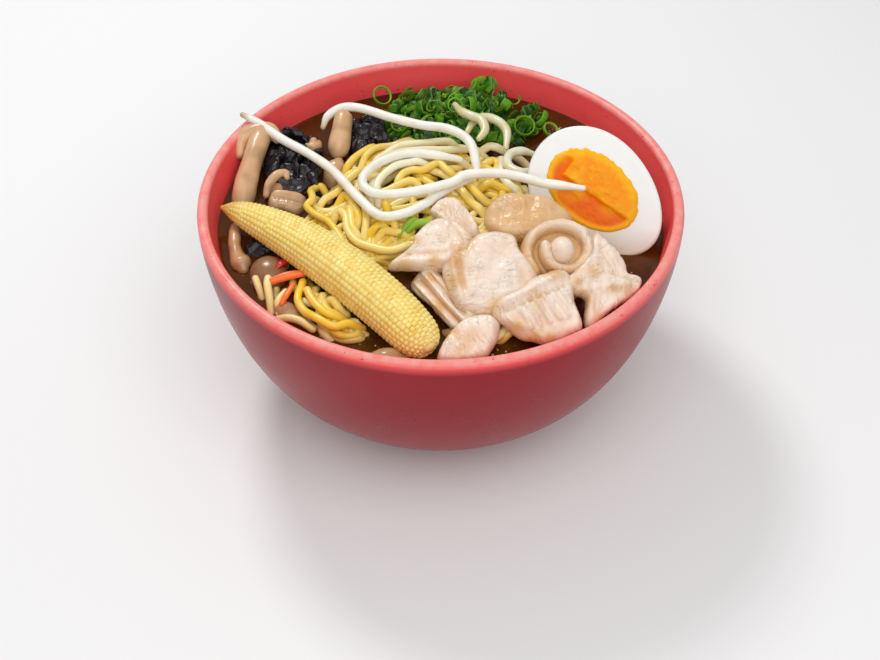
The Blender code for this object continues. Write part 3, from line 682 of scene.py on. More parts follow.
# bean sprouts that cross the bowl
sproutSizes = {"radius": 1.9, "sides": 16, "perSpan": 6, "tipShare": 0.62}
sproutCourses = {
    "sprout_left": [
        (-81.5, 48, 95), (-75, 44.5, 93.6), (-65, 37, 91), (-53, 28, 90), (-43, 16, 91),
        (-33, -2, 93), (-23.5, -15.5, 94), (-14, -15, 94.5), (-6.5, -10, 94.8), (-1.5, -5, 95),
        (3.5, -0.7, 95.8), (8.5, 2.8, 96), (13, 5.5, 95),
    ],
    "sprout_middle": [
        (54.5, -9, 102), (46, -8.5, 103), (39, -7, 103), (31, -4, 103.5), (22, -1, 103),
        (10, 0, 101.5), (4, -3, 100), (-10, -6.5, 98.5), (-23, -7, 97.5), (-29.5, -2, 97),
        (-30, 5, 97), (-24, 13, 97.5), (-13, 18, 98), (-1, 18, 97), (8, 19, 94),
    ],
    "sprout_back": [
        (-49, 51, 86.5), (-47, 54, 90), (-41, 56.5, 92.5), (-33, 54, 94), (-20, 46, 95), (-8, 40.5, 95.5),
        (2, 35.5, 97.5), (9, 29, 98.5), (12.5, 22, 98.5), (14, 14, 96), (14.5, 9, 94),
    ],
    "sprout_curl": [
        (6, 58, 93), (8.5, 50.5, 95), (12.5, 46, 96), (16.5, 43, 96), (18, 37, 95.5), (15.5, 32.5, 94.5),
    ],
    "sprout_arch": [
        (11, 42, 91), (14, 47.5, 92.5), (19, 49, 93), (24, 46, 93), (27, 39, 93.2), (26.5, 30, 92),
    ],
    "sprout_loop": [
        (37.5, 27.5, 90.5), (33, 27.5, 92), (28.5, 25.5, 92.3), (26.5, 20.5, 92.3), (28, 15.5, 92.6),
        (32, 12.5, 93), (36.5, 13.5, 93.4),
    ],
}
# how white each one is, where it isn't as white as the long ones
sproutTones = {"sprout_curl": 0.1, "sprout_arch": 0.15, "sprout_loop": 0.45}


# the root end is tan
def rootStain(t, turn):
    return 0.9 * (1 - smoothStep(t, 0.02, 0.1))


def makeSprouts():
    size = sproutSizes
    for node, route in sproutCourses.items():
        bm = newShape()
        plain = smoothCourse(route, size["perSpan"])
        last = len(plain) - 1
        course = []
        for i, p in enumerate(plain):
            fromEnd = min(i, last - i) / (1.3 * size["perSpan"])
            swell = size["tipShare"] + (1 - size["tipShare"]) * smoothStep(fromEnd, 0.0, 1.0)
            course.append(Vector((*p, size["radius"] * swell * (1 + 0.05 * noise.noise(p * 0.12)))))
        mark = rootStain if node in ("sprout_left", "sprout_back") else None
        sweep(bm, strandStations(course), size["sides"], sproutTones.get(node, 0.9), mark)
        finishPiece(bm, node.replace("_", ""), sproutLook, [node])


makeSprouts()
print("sprouts laid")


# the egg half, cut face towards the middle of the bowl
eggSizes = {
    "centre": (60.5, -4.0, 95.3), "facing": (-0.13, -0.72, 0.68), "length": 59.0, "width": 43.0,
    "yolkLength": 39.5, "yolkWidth": 27.5, "whiteTurn": 136.5, "yolkTurn": 141.5, "rimRound": 1.1,
}


def makeEggWhite():
    size = eggSizes
    bm = newShape()
    bmesh.ops.create_uvsphere(bm, u_segments=72, v_segments=48, radius=1.0)
    bmesh.ops.rotate(bm, verts=bm.verts, matrix=Matrix.Rotation(math.pi / 2, 3, "Y"))
    for vert in bm.verts:
        swell = 1 + 0.13 * vert.co.x
        vert.co = Vector((
            vert.co.x * size["length"] / 2, vert.co.y * size["width"] / 2 * swell,
            vert.co.z * size["width"] * 0.49 * swell,
        ))
    cut = bmesh.ops.bisect_plane(bm, geom=bm.verts[:] + bm.edges[:] + bm.faces[:], dist=0.001,
                                 plane_co=(0, 0, 0), plane_no=(0, 0, 1), clear_outer=True)
    rim = [item for item in cut["geom_cut"] if isinstance(item, bmesh.types.BMEdge)]
    bmesh.ops.contextual_create(bm, geom=rim)
    bmesh.ops.bevel(bm, geom=rim, offset=size["rimRound"], affect="EDGES", segments=4, profile=0.5,
                    material=-1)
    toneLayer = bm.verts.layers.float["tone"]
    for vert in bm.verts:
        vert[toneLayer] = 0.5
    place = placing(size["centre"], size["facing"], size["whiteTurn"])
    finishPiece(bm, "eggWhite", whiteLook, ["egg_white"], place)


# the yolk's cut face: a raised flap on one side of a crease, and a sunken, darker side
def yolkRelief(x, y):
    crease = 1.5 + 0.05 * x + 0.8 * noise.noise(Vector((x * 0.15, 0, 3)))
    corner = smoothStep(x, 12.5, 13.5) * smoothStep(y, -6.0, -3.0)
    sunk = max(smoothStep(y, crease - 0.5, crease + 0.9), corner)
    fade = smoothStep(math.hypot(x / 19, y / 13), 0.99, 0.84)
    crumbs = noise.fractal(Vector((x * 0.35, y * 0.35, 1)), 0.9, 2.0, 4)
    return sunk * fade, crumbs


def makeYolk():
    size = eggSizes
    bm = newShape()
    toneLayer, markLayer = toneAndMark(bm)
    bmesh.ops.create_uvsphere(bm, u_segments=128, v_segments=72, radius=1.0)
    for vert in bm.verts:
        px, py, pz = vert.co
        angle = math.atan2(py, px)
        out = math.hypot(px, py)
        rough = 0.02 + 0.05 * smoothStep(-py, -0.2, 0.5)
        jag = 1 + rough * noise.fractal(Vector((math.cos(angle) * 5, math.sin(angle) * 5, 2)), 0.8, 2.1, 3)
        if out > 0:
            even = (2 / math.pi) * math.asin(min(out, 1.0)) if pz > 0 else out
            px, py = px / out * even, py / out * even
        swell = 1 + 0.05 * px
        x, y = px * jag * size["yolkLength"] / 2, py * jag * size["yolkWidth"] / 2 * swell
        sunk, crumbs = yolkRelief(x, y)
        away = math.hypot(px, py)
        if pz > 0:
            z = 0.15 + 1.3 * (1 - away**8) - 0.9 * sunk + 0.3 * crumbs * (1 - away**4)
            fleck = smoothStep(noise.noise(Vector((x * 1.1, y * 1.1, 4))), 0.35, 0.6)
            pale = 0.7 * math.exp(-((x - 9.0) ** 2 / 14 + (y - 0.2) ** 2 / 3.5))
            setRim = 0.9 * smoothStep(away, 0.7, 0.97)
            vert[toneLayer] = min(1.0, 0.1 + pale + setRim + 0.5 * max(0.0, crumbs) + fleck)
            vert[markLayer] = sunk * smoothStep(noise.noise(Vector((x * 0.12, y * 0.2, 9))), -0.8, 0.3)
        else:
            z = pz * size["yolkWidth"] * 0.4
            vert[toneLayer] = 1.0
        vert.co = (x + 1.9, y, z)
    place = placing(size["centre"], size["facing"], size["yolkTurn"])
    finishPiece(bm, "softYolkHalf", yolkLook, ["egg_yolk"], place)


makeEggWhite()
makeYolk()
print("egg set")


# the baby corn, with its beads in rows
cornSizes = {
    "route": [
        (-86, -2, 87, 0.7), (-81, -4.5, 87.3, 3.4), (-74, -9, 87.8, 5.6), (-64, -16.5, 88.3, 7.4),
        (-54, -25, 89, 8.7), (-44, -34.5, 89.3, 9.4), (-34, -44.5, 89, 9.7), (-24, -55, 88, 9.7),
        (-16, -64, 86.8, 9.4), (-10.5, -70.6, 85.8, 8.8), (-7.2, -74.5, 85.3, 7.8), (-5.2, -76.9, 85.0, 6.1),
        (-4.3, -78.0, 84.9, 4.4), (-3.9, -78.5, 84.8, 2.4),
    ],
    "columns": 156, "bead": 2.05, "depth": 0.7,
}


# how many rows of beads fit round the ear at a radius, fewer towards the tip
def cornRows(radius):
    return 26 if radius > 7.6 else 20 if radius > 5.4 else 14 if radius > 3.4 else 8


def makeCorn():
    size = cornSizes
    course = smoothCourse(size["route"], 34)
    phases = [0.0]
    for a, b in zip(course, course[1:]):
        length = size["bead"] * (0.7 + 0.3 * smoothStep(a.w, 2.0, 7.0))
        phases.append(phases[-1] + (b - a).length / length)
    bm = newShape()
    stations = strandStations(course, dome=0.35)
    extra = (len(stations) - len(course)) // 2
    verts = sweep(bm, stations, size["columns"])
    toneLayer, markLayer = toneAndMark(bm)
    for k, vert in enumerate(verts):
        i, j = k % len(stations), k // len(stations)
        at = min(max(i - extra, 0), len(phases) - 1)
        rows = cornRows(course[at].w)
        row = (j % size["columns"]) / size["columns"] * rows
        shift = 0.5 if int(row) % 2 else 0.0
        wander = 0.25 * noise.noise(Vector((int(row) * 1.7, phases[at] * 0.1, 4)))
        u = (row % 1.0) * 2 - 1
        v = ((phases[at] + shift + wander) % 1.0) * 2 - 1
        bead = max(0.0, 1 - 0.8 * u * u) ** 0.5 * max(0.0, 1 - v * v) ** 0.5
        share = smoothStep(course[at].w, 0.8, 4.0)
        out = vert.co - stations[i][0]
        if out.length > 0.01 and extra <= i < len(stations) - extra:
            # beads stand square on the slope of the ear
            slope = course[min(at + 1, len(course) - 1)] - course[max(at - 1, 0)]
            square = out.normalized() * slope.to_3d().length - slope.to_3d().normalized() * slope.w
            vert.co += square.normalized() * size["depth"] * share * (bead - 0.6)
        # beads paler on their tops and the mark colour between them: painted highlight and shade; paler
        # towards the butt end too, as painted light
        patch = 0.5 + 0.5 * noise.noise(vert.co * 0.25)
        butt = smoothStep(phases[at], phases[-1] - 5, phases[-1])
        vert[toneLayer] = min(1.0, 0.35 + 0.7 * bead * patch + 0.4 * butt)
        tip = 1 - smoothStep(phases[at], 2.0, 11.0)
        vert[markLayer] = max(0.5 * (1 - bead) ** 2 * share, 0.75 * tip)
    finishPiece(bm, "babyCornEar", cornLook, ["baby_corn"])


makeCorn()
print("corn beaded")


# each slice of chicken: its place, its outline on its back, how it bows, and ridges or grooves as
# (start, end, height, half width), all in millimetres
chickenSlices = {
    "chicken_leaf": {
        "centre": (5.5, -18, 94.5), "facing": (0, -0.25, 0.97), "fibres": 70, "bow": 1.5,
        "outline": [(-2, 11), (3, 7), (7, 0), (9, -7), (4, -7), (-1, -4), (-6, 1), (-9, 5), (-6, 9)],
        "folds": [((-6, 8), (7, -5), 0.5, 1.2), ((-7, 4), (3, -6), -0.5, 0.8)],
    },
    "chicken_left": {
        "centre": (0, -33, 95.5), "facing": (-0.1, -0.35, 0.93), "fibres": 10, "bow": 2.2,
        "stains": [(-2, -9, 2.5), (7, -5, 3), (-9, 0, 2)],
        "outline": [
            (-2, 10), (4, 9), (9, 5), (12, -1), (9, -6), (3, -11), (-4, -10.5), (-10, -9.5), (-14.5, -9),
            (-20, -8), (-15, -4.8), (-10.5, -1.5), (-8.5, 4),
        ],
        "folds": [
            ((-18, -8), (2, -9), 0.9, 1.6), ((-12, -5), (2, -5.5), -0.8, 0.8), ((4, 8), (9, -3), -0.5, 0.6),
        ],
    },
    "chicken_back": {
        "centre": (30, -22, 99), "facing": (-0.1, -0.3, 0.95), "fibres": 15, "bow": 3.4, "stainAndShade": 0.7,
        "outline": [
            (-13, -1), (-11, 5), (-6, 9), (0, 9), (8, 8), (14, 4), (19, -2), (9, -7), (0, -10), (-8, -8),
        ],
        "folds": [((-10, 2), (4, 6), 0.6, 2.0), ((-4, -4), (10, 0), -0.4, 1.0)],
    },
    "chicken_centre": {
        "centre": (15, -51.5, 97), "facing": (0, -0.5, 0.86), "fibres": -15, "bow": 2.6,
        "stains": [(-10, 5, 4), (-10, -4, 3.5), (-6, 10, 3), (4, -14, 3)],
        "outline": [
            (-1, 14), (6, 15), (11, 14), (13, 8), (18, 2), (20, -4), (14, -8), (6, -11), (3, -16),
            (-6, -13), (-9, -11), (-12, -5), (-13, 3), (-7, 8),
        ],
        "folds": [
            ((-12, 7), (-8, -10), 1.1, 1.5), ((-9, 6), (-6.5, -7), -1.0, 0.9),
            ((-7, -12), (4, -14), 0.8, 1.8), ((0, 3), (12, -1), 0.4, 1.6), ((12, 12), (17, 0), 0.5, 1.3),
            ((2, 10), (9, 5), -0.35, 0.6),
        ],
    },
    "chicken_right": {
        "centre": (60.5, -52, 92.5), "facing": (0.25, -0.41, 0.86), "fibres": -35, "bow": 1.8,
        "stains": [(-5, 3, 2.5), (-12, -2, 2.5), (2, -3, 2)],
        "outline": [
            (-2, 19), (3, 15), (8, 8), (9, 4), (14, 3), (11, -3), (1, -10), (-6, -17), (-7, -11),
            (-7, -6), (-15, -3.5), (-14, 0), (-7, 8),
        ],
        "folds": [
            ((-14, -2), (-3, 4), 0.8, 1.4), ((-3, 4), (12, 1), -0.6, 0.8), ((-8, -2), (-6, -14), 0.5, 1.2),
            ((-4, -3), (8, -1), 0.5, 1.2), ((-2, 14), (2, 6), -0.4, 0.7), ((0, 16), (6, 6), 0.4, 1.0),
        ],
    },
    "chicken_front": {
        "centre": (37.5, -66, 91), "facing": (0.05, -0.5, 0.86), "fibres": 55, "bow": 2.0,
        "stains": [(-10, -6, 3.5), (-4, -10, 3.0), (2, -10, 2.5), (4, 14, 3)],
        "outline": [
            (-3, 12), (3, 15), (9, 14), (10, 4), (13, -5), (7, -9), (1, -11), (-6, -10), (-12, -6),
            (-18, -1), (-16, 4), (-10, 7),
        ],
        "folds": [
            ((-17, 2), (6, 14), 1.1, 1.6), ((-14, 0), (7, 9), -0.8, 0.8), ((-15, -3), (0, -10), 0.7, 1.4),
            *[((-10 + 3.2 * k, 2 + 1.2 * k), (-5 + 3.4 * k, -7 + 1.2 * k), 1.0, 0.75) for k in range(6)],
        ],
    },
    "chicken_small": {
        "centre": (10, -74.5, 87), "facing": (-0.1, -0.3, 0.95), "fibres": 60, "bow": 1.6,
        "stains": [(-6, 1, 2.5)],
        "outline": [(1, 8), (7, 8), (10, 5), (9, -2), (4, -8), (-5, -9), (-11, -8), (-7, 1)],
        "folds": [((-8, -4), (3, 6), 0.4, 1.4), ((8, 6), (9, -1), 0.5, 1.0)],
    },
    "chicken_fold": {
        "centre": (0, -55, 86.5), "facing": (-0.5, -0.4, 0.77), "turn": 40, "grow": 1.15,
        "fibres": 90, "bow": 1.0,
        "stainAndShade": 0.15, "stains": [(3, 9, 2.5), (-3, -4, 2)],
        "outline": [
            (-4, 15), (4, 15), (5, 8), (5, 0), (5, -7), (4, -14), (-3, -14), (-4, -7), (-4, 1), (-5, 8),
        ],
        "folds": [
            ((-3, 14), (-2.5, -13), 0.9, 0.9), ((-0.6, 13), (-0.4, -13), -1.3, 0.7),
            ((1.8, 14), (1.4, -13), 0.9, 0.8), ((3.6, 12), (3.0, -12), -0.8, 0.5),
        ],
    },
}
sliceSizes = {"thickness": 6.5, "grow": 1.08, "around": 112, "down": 56, "grain": 0.33}


# a closed outline as its reach at each angle round its middle
def outlineReach(outline):
    ring = smoothCourse([*outline[-2:], *outline, *outline[:2]], 6)
    byAngle = sorted((math.atan2(p.y, p.x) % fullTurn, p.length) for p in ring)
    count = 180
    reach = []
    for k in range(count):
        angle = fullTurn * k / count
        nearest = sorted(byAngle, key=lambda p: abs((p[0] - angle + math.pi) % fullTurn - math.pi))[:3]
        reach.append(sum(p[1] for p in nearest) / len(nearest))
    return [(reach[k - 1] + reach[k] + reach[(k + 1) % count]) / 3 for k in range(count)]


# a soft slab on its back: a ball flattened to the outline, bowed, folded and grained
def makeSlab(name, spec, thickness, look, grow=1.0, grainStretch=(1.0, 0.35), rough=1.0):
    size = sliceSizes
    bm = newShape()
    toneLayer, markLayer = toneAndMark(bm)
    grainLayer = bm.verts.layers.float_vector["grain"]
    across = Matrix.Rotation(math.radians(spec.get("fibres", 20)), 3, "Z")
    reach = outlineReach(spec["outline"])
    far = max(reach)
    grow = spec.get("grow", grow)
    bmesh.ops.create_uvsphere(bm, u_segments=size["around"], v_segments=size["down"], radius=1.0)
    offset = Vector(spec["centre"]) * 0.37
    for vert in bm.verts:
        angle = math.atan2(vert.co.y, vert.co.x)
        flat = math.hypot(vert.co.x, vert.co.y)
        share = math.asin(min(flat, 1.0)) * 2 / math.pi
        upward = math.copysign(1.0, vert.co.z)
        out = share if share < 0.7 else 0.7 + 0.3 * math.sin((share - 0.7) / 0.3 * math.pi / 2)
        ragged = Vector((math.cos(angle), math.sin(angle), 0)) * 3.2 + offset
        wide = aroundCircle(reach, angle) * out * (grow + 0.05 * rough * noise.noise(ragged))
        x, y = pointAt((0, 0), wide, angle)
        edge = max(0.0, 1 - max(0.0, (out - 0.76) / 0.24) ** 2.2) ** 0.5
        z = upward * thickness / 2 * edge - thickness / 2
        away = math.hypot(x, y) / far
        z += spec["bow"] * (1 - away * away)
        fold = sum(
            height * math.exp(-(distanceTo(x, y, start, end) / half) ** 2)
            for start, end, height, half in spec["folds"]
        )
        stretched = Vector((x * grainStretch[0], y * grainStretch[1], 0)) * size["grain"] + offset
        lumps = noise.fractal(stretched, 0.8, 2.1, 4)
        waves = noise.noise(Vector((x * 0.11, y * 0.11, 5)) + offset)
        lift = (1.25 * fold + 0.55 * rough * lumps + 1.7 * rough * waves) * (0.35 + 0.65 * edge)
        z += lift if upward > 0 else 0.8 * rough * waves
        vert.co = (x, y, z)
        lie = across @ Vector((x, y, 0))
        vert[grainLayer] = (lie.x * 0.45 + offset.x, lie.y * 1.5 + offset.y, offset.z)
        rim = smoothStep(out, 0.86, 1.0)
        patch = noise.noise(Vector((x * 0.11, y * 0.11, 2)) + offset)
        # paler where the waves and folds lift the surface, and darker in the grooves and towards the rim:
        # painted highlight and shade
        vert[toneLayer] = max(0.0, min(1.0, 0.72 + 0.45 * waves - 0.25 * rim + 0.25 * fold))
        # the mark colour: random patches and listed stains, more towards the rim, and more in the grooves,
        # where on the chicken and the sliced mushroom it darkens them as painted shade
        stainAndShade = spec.get("stainAndShade", 0.05) + 0.4 * smoothStep(patch, 0.15, 0.6)
        stainAndShade += 0.2 * rim - 0.3 * min(0.0, fold)
        for cx, cy, wide in spec.get("stains", ()):
            stainAndShade += 0.75 * math.exp(-((x - cx) ** 2 + (y - cy) ** 2) / wide**2)
        vert[markLayer] = max(0.0, min(0.8, stainAndShade))
    place = placing(spec["centre"], spec["facing"], spec.get("turn", 0))
    finishPiece(bm, name.replace("_", ""), look, [name], place)


rollSizes = {
    "centre": (44.5, -40.5, 97), "facing": (0.1, -0.45, 0.89), "band": 5.0, "depth": 10.5,
    "start": 12.6, "end": 5.6, "turns": 1.25, "from": 235, "bulb": 5.0, "base": (12.5, 10.5, 4.5),
}


# a slice rolled into a scroll that shows its end, round a small bulb
def makeRoll():
    size = rollSizes
    bm = newShape()
    count = 90
    stations = []
    for i in range(count + 1):
        t = i / count
        angle = math.radians(size["from"]) - fullTurn * size["turns"] * t
        radius = size["start"] + (size["end"] - size["start"]) * t + 0.7 * noise.noise(Vector((t * 5, 3, 1)))
        outward = Vector((math.cos(angle), math.sin(angle), 0))
        middle = Vector((outward.x * radius * 1.08, outward.y * radius * 0.94, 1.2 * math.sin(angle * 1.3)))
        end = math.sqrt(max(0.0, 1 - max(0.0, abs(2 * t - 1) * 1.06 - 0.94) ** 2 / 0.0144))
        band = size["band"] / 2 * (1 + 0.16 * noise.noise(Vector((t * 9, 0, 1)))) * max(end, 0.02)
        stations.append((middle, outward * band, Vector((0, 0, size["depth"] / 2 * max(end, 0.02)))))
    verts = sweep(bm, stations, 40, 0.7)
    toneLayer, markLayer = toneAndMark(bm)
    grainLayer = bm.verts.layers.float_vector["grain"]
    for vert in verts:
        vert[grainLayer] = vert.co * 0.6
        lumps = noise.fractal(vert.co * 0.22, 0.8, 2.1, 4)
        vert.co += Vector((0.3 * lumps, 0.3 * lumps, 0.5 * lumps))
        # lower in the scroll the mark colour darkens it as painted shade; the random patches on top of that
        # are stains
        deep = smoothStep(vert.co.z, 7.0, 2.0)
        vert[markLayer] = min(0.8, 0.12 + 0.6 * deep + 0.35 * max(0.0, noise.noise(vert.co * 0.12)))
        vert[toneLayer] = 0.75 + 0.3 * lumps
    ball = bmesh.ops.create_uvsphere(bm, u_segments=32, v_segments=20, radius=size["bulb"])
    for vert in ball["verts"]:
        tall = vert.co.z * 1.5 + 0.5 + 0.3 * noise.noise(vert.co * 0.3)
        vert.co = Vector((vert.co.x, vert.co.y * 1.05, tall))
        vert[toneLayer] = 0.8
        vert[markLayer] = 0.1
    # the meat that closes the scroll from below, coloured dark as painted shade
    base = bmesh.ops.create_uvsphere(bm, u_segments=40, v_segments=20, radius=1.0)
    for vert in base["verts"]:
        vert.co = vert.co * Vector(size["base"]) - Vector((0, 0, 2.5))
        vert[toneLayer] = 0.35
        vert[markLayer] = 0.75
    place = placing(size["centre"], size["facing"])
    finishPiece(bm, "chickenrolled", chickenLook, ["chicken_rolled"], place)


makeRoll()
for sliceName, sliceSpec in chickenSlices.items():
    makeSlab(sliceName, sliceSpec, sliceSizes["thickness"], chickenLook, sliceSizes["grow"])
print("chicken sliced")


# mushrooms as courses of (x, y, z, radius) from the foot to the cap
mushroomCourses = {
    "mushroom_tall": [
        (-80.5, 6, 76, 3.6), (-79.5, 12, 79, 4.6), (-78.5, 19, 82.5, 4.7), (-76.5, 28, 86.5, 4.2),
        (-75, 35, 88.5, 4.4), (-74, 40, 89.5, 4.2), (-73.8, 42, 89.7, 2.2),
    ],
    "mushroom_upright": [
        (-40.5, 55, 91.2, 2), (-40.5, 53, 90.6, 3.6), (-41, 47, 88, 4.2), (-42, 41.5, 84.8, 4.6),
        (-42.4, 38.5, 82.2, 3.8), (-42.6, 37, 80.6, 1.8),
    ],
    "mushroom_stub": [
        (-42, 31.5, 82.5, 2.4), (-42.6, 29.5, 81.8, 4.6), (-43.5, 25.5, 79.5, 4.8), (-44.3, 22, 76.5, 3.4),
    ],
    "mushroom_button": [
        (-52.5, 41.5, 86.5, 1.6), (-52.5, 41.2, 85.6, 3.4), (-53, 40.5, 82.5, 3.6), (-53.5, 40, 78.5, 2.4),
    ],
    "mushroom_stem": [
        (-81, -6.5, 80.5, 1.8), (-80.6, -11, 80.6, 2.4), (-80, -17, 80.2, 2.4), (-78.5, -23, 79.6, 3),
        (-76.5, -27.5, 79.2, 4), (-75.5, -30, 79, 2.2),
    ],
}
# the cap of the tall one, seen from the side, with one edge that hangs
tallCap = [
    (-82, 33, 86, 1.8), (-82, 37.5, 88, 2.9), (-79, 41.5, 90, 3.6), (-74, 43, 91, 3.7),
    (-69.5, 42, 90.5, 3.4), (-67, 39.5, 89, 2.0),
]
# a thin stalk that rises from the sliced one
curlCourse = [
    (-70, 13, 81, 1.3), (-69, 17, 83.5, 1.8), (-66, 21, 85, 1.9), (-63, 22, 85, 1.6), (-62, 20, 84.5, 1.2),
]
# more of them hang just under the surface
sunkenCourses = [
    [(-66, 14, 78.2, 3.4), (-66.5, 18, 78.6, 4.6), (-66, 22, 77.5, 3.0)],
    [(-58, 17, 77.0, 3.0), (-55, 21, 77.6, 3.8), (-52, 24, 76.5, 2.6)],
    [(-62, -49, 77.6, 3.0), (-58, -53, 78.0, 4.2), (-53, -57, 77.0, 3.0)],
    [(-24, -79, 77.6, 4.0), (-19, -79.5, 78.6, 5.4), (-14, -80, 77.6, 4.0)],
    [(27, -79, 77.0, 3.0), (32, -79.5, 78.0, 4.0), (37, -78, 77.0, 3.0)],
    [(2, -64, 77.0, 2.6), (6, -66, 78.6, 3.4), (10, -67, 77.0, 2.6)],
]


capSizes = {
    "centre": (-65.5, -33.5, 79.5), "facing": (-0.1, -0.25, 0.96), "turn": 20,
    "half": (7.4, 8.2, 5.2), "underside": 0.45,
}
slicedThickness = 5.0
slicedMushroom = {
    "centre": (-61, 8.5, 81), "facing": (0.1, -0.15, 0.98), "turn": -12, "bow": 2.0,
    "outline": [
        (-8, 3), (-6, 5), (-2, 5), (3, 6), (7, 4), (8, -1), (5, -5), (-1, -5), (-6, -5), (-8, -1),
    ],
    "folds": [((-7, 3), (6, 4), 0.6, 1.2), ((-6, 0), (7, 1), -0.5, 0.7), ((-5, -3), (5, -3), 0.4, 0.9)],
}


# a round strand with slow bulges and darker patches
def addBulgyStrand(bm, route, tone):
    verts = sweep(bm, strandStations(smoothCourse(route, 8)), 28, tone)
    markLayer = bm.verts.layers.float["mark"]
    for vert in verts:
        vert.co += Vector((0.3, 0.3, 0.3)) * noise.noise(vert.co * 0.22)
        vert[markLayer] = 0.35 * smoothStep(noise.noise(vert.co * 0.16), 0.0, 0.6)


def makeMushrooms():
    for k, (node, route) in enumerate(mushroomCourses.items()):
        bm = newShape()
        addBulgyStrand(bm, route, 0.85 - 0.08 * k)
        if node == "mushroom_tall":
            addBulgyStrand(bm, tallCap, 0.9)
        finishPiece(bm, node.replace("_", ""), mushroomLook, [node])
    bm = newShape()
    for k, route in enumerate([*sunkenCourses, curlCourse]):
        addBulgyStrand(bm, route, 0.4 + 0.06 * k)
    finishPiece(bm, "sunkenMushrooms", mushroomLook)


# a whole cap that floats, rounder above than below
def makeMushroomCap():
    size = capSizes
    bm = newShape()
    toneLayer, markLayer = toneAndMark(bm)
    bmesh.ops.create_uvsphere(bm, u_segments=48, v_segments=28, radius=1.0)
    for vert in bm.verts:
        vert[toneLayer] = 0.1 + 0.3 * noise.noise(vert.co * 2)
        vert[markLayer] = 0.75
        under = size["underside"] if vert.co.z < 0 else 1.0
        vert.co = vert.co * Vector(size["half"]) * Vector((1, 1, under))
    place = placing(size["centre"], size["facing"], size["turn"])
    finishPiece(bm, "mushroomcap", mushroomLook, ["mushroom_cap"], place)


# sheets of wood ear, each on its back, with its outline and folds as on a slice
earThickness = 3.4
earSheets = {
    "wood_ear_large": {
        "centre": (-61, 32, 84), "facing": (0.05, -0.1, 0.99), "turn": -8, "bow": 1.5,
        "outline": [
            (-8, 17), (0, 18), (8, 16), (12, 9), (11, 2), (12, -8), (7, -17), (-3, -17), (-9, -9), (-11, 0),
            (-10, 9),
        ],
        "folds": [
            ((-9, 12), (9, 13), 1.6, 1.3), ((-8, 8), (8, 6), -1.2, 1.2), ((-9, 2), (6, 3), 1.4, 1.2),
            ((-8, -4), (10, -6), 1.2, 1.4), ((-4, -12), (6, -12), 1.0, 1.2), ((2, 14), (4, -10), -0.9, 1.0),
        ],
    },
    "wood_ear_back": {
        "centre": (-31, 49, 84), "facing": (0, -0.2, 0.98), "bow": 1.5,
        "outline": [(-6, 10), (4, 10), (8, 5), (9, -2), (6, -9), (-6, -9), (-8, -3), (-8, 4)],
        "folds": [((-6, 5), (7, 3), 1.2, 1.2), ((-7, -2), (7, -4), 1.2, 1.2), ((-2, 8), (2, -8), -0.9, 0.9)],
    },
    "wood_ear_small": {
        "centre": (-67, -14, 80), "facing": (0.1, -0.1, 0.98), "turn": 42, "bow": 0.8,
        "outline": [(-7, 5), (0, 5), (7, 5), (11, 0), (8, -5), (0, -5), (-8, -5), (-11, 0)],
        "folds": [((-9, 1), (8, 2), 0.7, 1.0)],
    },
}
# crumpled edges that stand up from the sheets
earCourses = [
    [(-71, 40, 82, 2.0), (-69, 43, 85, 3.6), (-64, 45, 86.5, 4.2), (-58, 44, 86, 3.4), (-55, 42, 84, 2.0)],
    [(-50, 16, 80, 2.0), (-52, 21, 83, 3.4), (-51, 26, 84.5, 3.8), (-52, 32, 85, 3.2), (-50, 37, 84, 1.8)],
    [(-70, 22, 81, 1.8), (-69, 27, 84, 3.4), (-66, 32, 86, 3.6), (-66, 37, 86, 2.6)],
    [(-58, 22, 82, 2.0), (-60, 27, 85, 3.0), (-57, 33, 86.5, 3.2), (-60, 38, 86, 2.0)],
    [(-36, 44, 83, 2.0), (-32, 47, 86.5, 3.6), (-27, 46, 87, 3.6), (-23, 43, 85, 2.0)],
    [(-35, 56, 84, 1.8), (-30, 55, 86.5, 3.0), (-25, 53, 86, 2.6)],
]
# strips of carrot, and bits of red pepper
stripCourses = {
    "carrot_long": [(-63.5, -41.5, 83.5, 1.4), (-58, -40, 84.6, 1.7), (-52, -38.5, 84.8, 1.4)],
    "carrot_short": [(-55.5, -44.5, 84, 1.3), (-57.5, -49, 83.2, 1.6), (-59, -52.5, 82.4, 1.2)],
}
pepperCourses = [
    [(-64, -35, 82.6, 1.6), (-61, -32, 83.6, 2.4), (-57.5, -29.5, 83.6, 1.6)],
    [(-66, -32, 80.0, 1.5), (-64, -28, 80.6, 2.2), (-63, -25, 80.0, 1.5)],
]


def makeEarEdges():
    bm = newShape()
    for k, route in enumerate(earCourses):
        verts = sweep(bm, strandStations(smoothCourse(route, 9), 0.5), 32, 0.3 + 0.1 * (k % 3))
        for vert in verts:
            crumple = noise.noise_vector(vert.co * 0.3) * 1.5 + noise.noise_vector(vert.co * 0.8) * 0.6
            vert.co += crumple
    finishPiece(bm, "woodEarEdges", earLook)


def makeStrips():
    for node, route in stripCourses.items():
        bm = newShape()
        sweep(bm, strandStations(smoothCourse(route, 6), 0.7), 16, 0.5)
        finishPiece(bm, node.replace("_", ""), carrotLook, [node])
    bm = newShape()
    for route in pepperCourses:
        sweep(bm, strandStations(smoothCourse(route, 6), 0.6), 16, 0.5)
    finishPiece(bm, "redPepperBits", pepperLook)


makeMushrooms()
makeMushroomCap()
makeSlab("mushroom_sliced", slicedMushroom, slicedThickness, mushroomLook, rough=0.5)
for earName, earSpec in earSheets.items():
    makeSlab(earName, earSpec, earThickness, earLook, grainStretch=(1.0, 1.0), rough=1.3)
makeEarEdges()
makeStrips()
print("mushrooms, wood ear and strips in")


# the cut spring onion: a low core, and rings and part rings over it
scallionSizes = {
    "centre": (8.0, 61.5), "reach": (37, 31, 20, 19, 22, 32, 37, 31, 22, 19, 20, 30),
    "pieces": 250, "seed": 23, "wall": 0.78, "peak": ((20, 76), 5.0, 5),
}
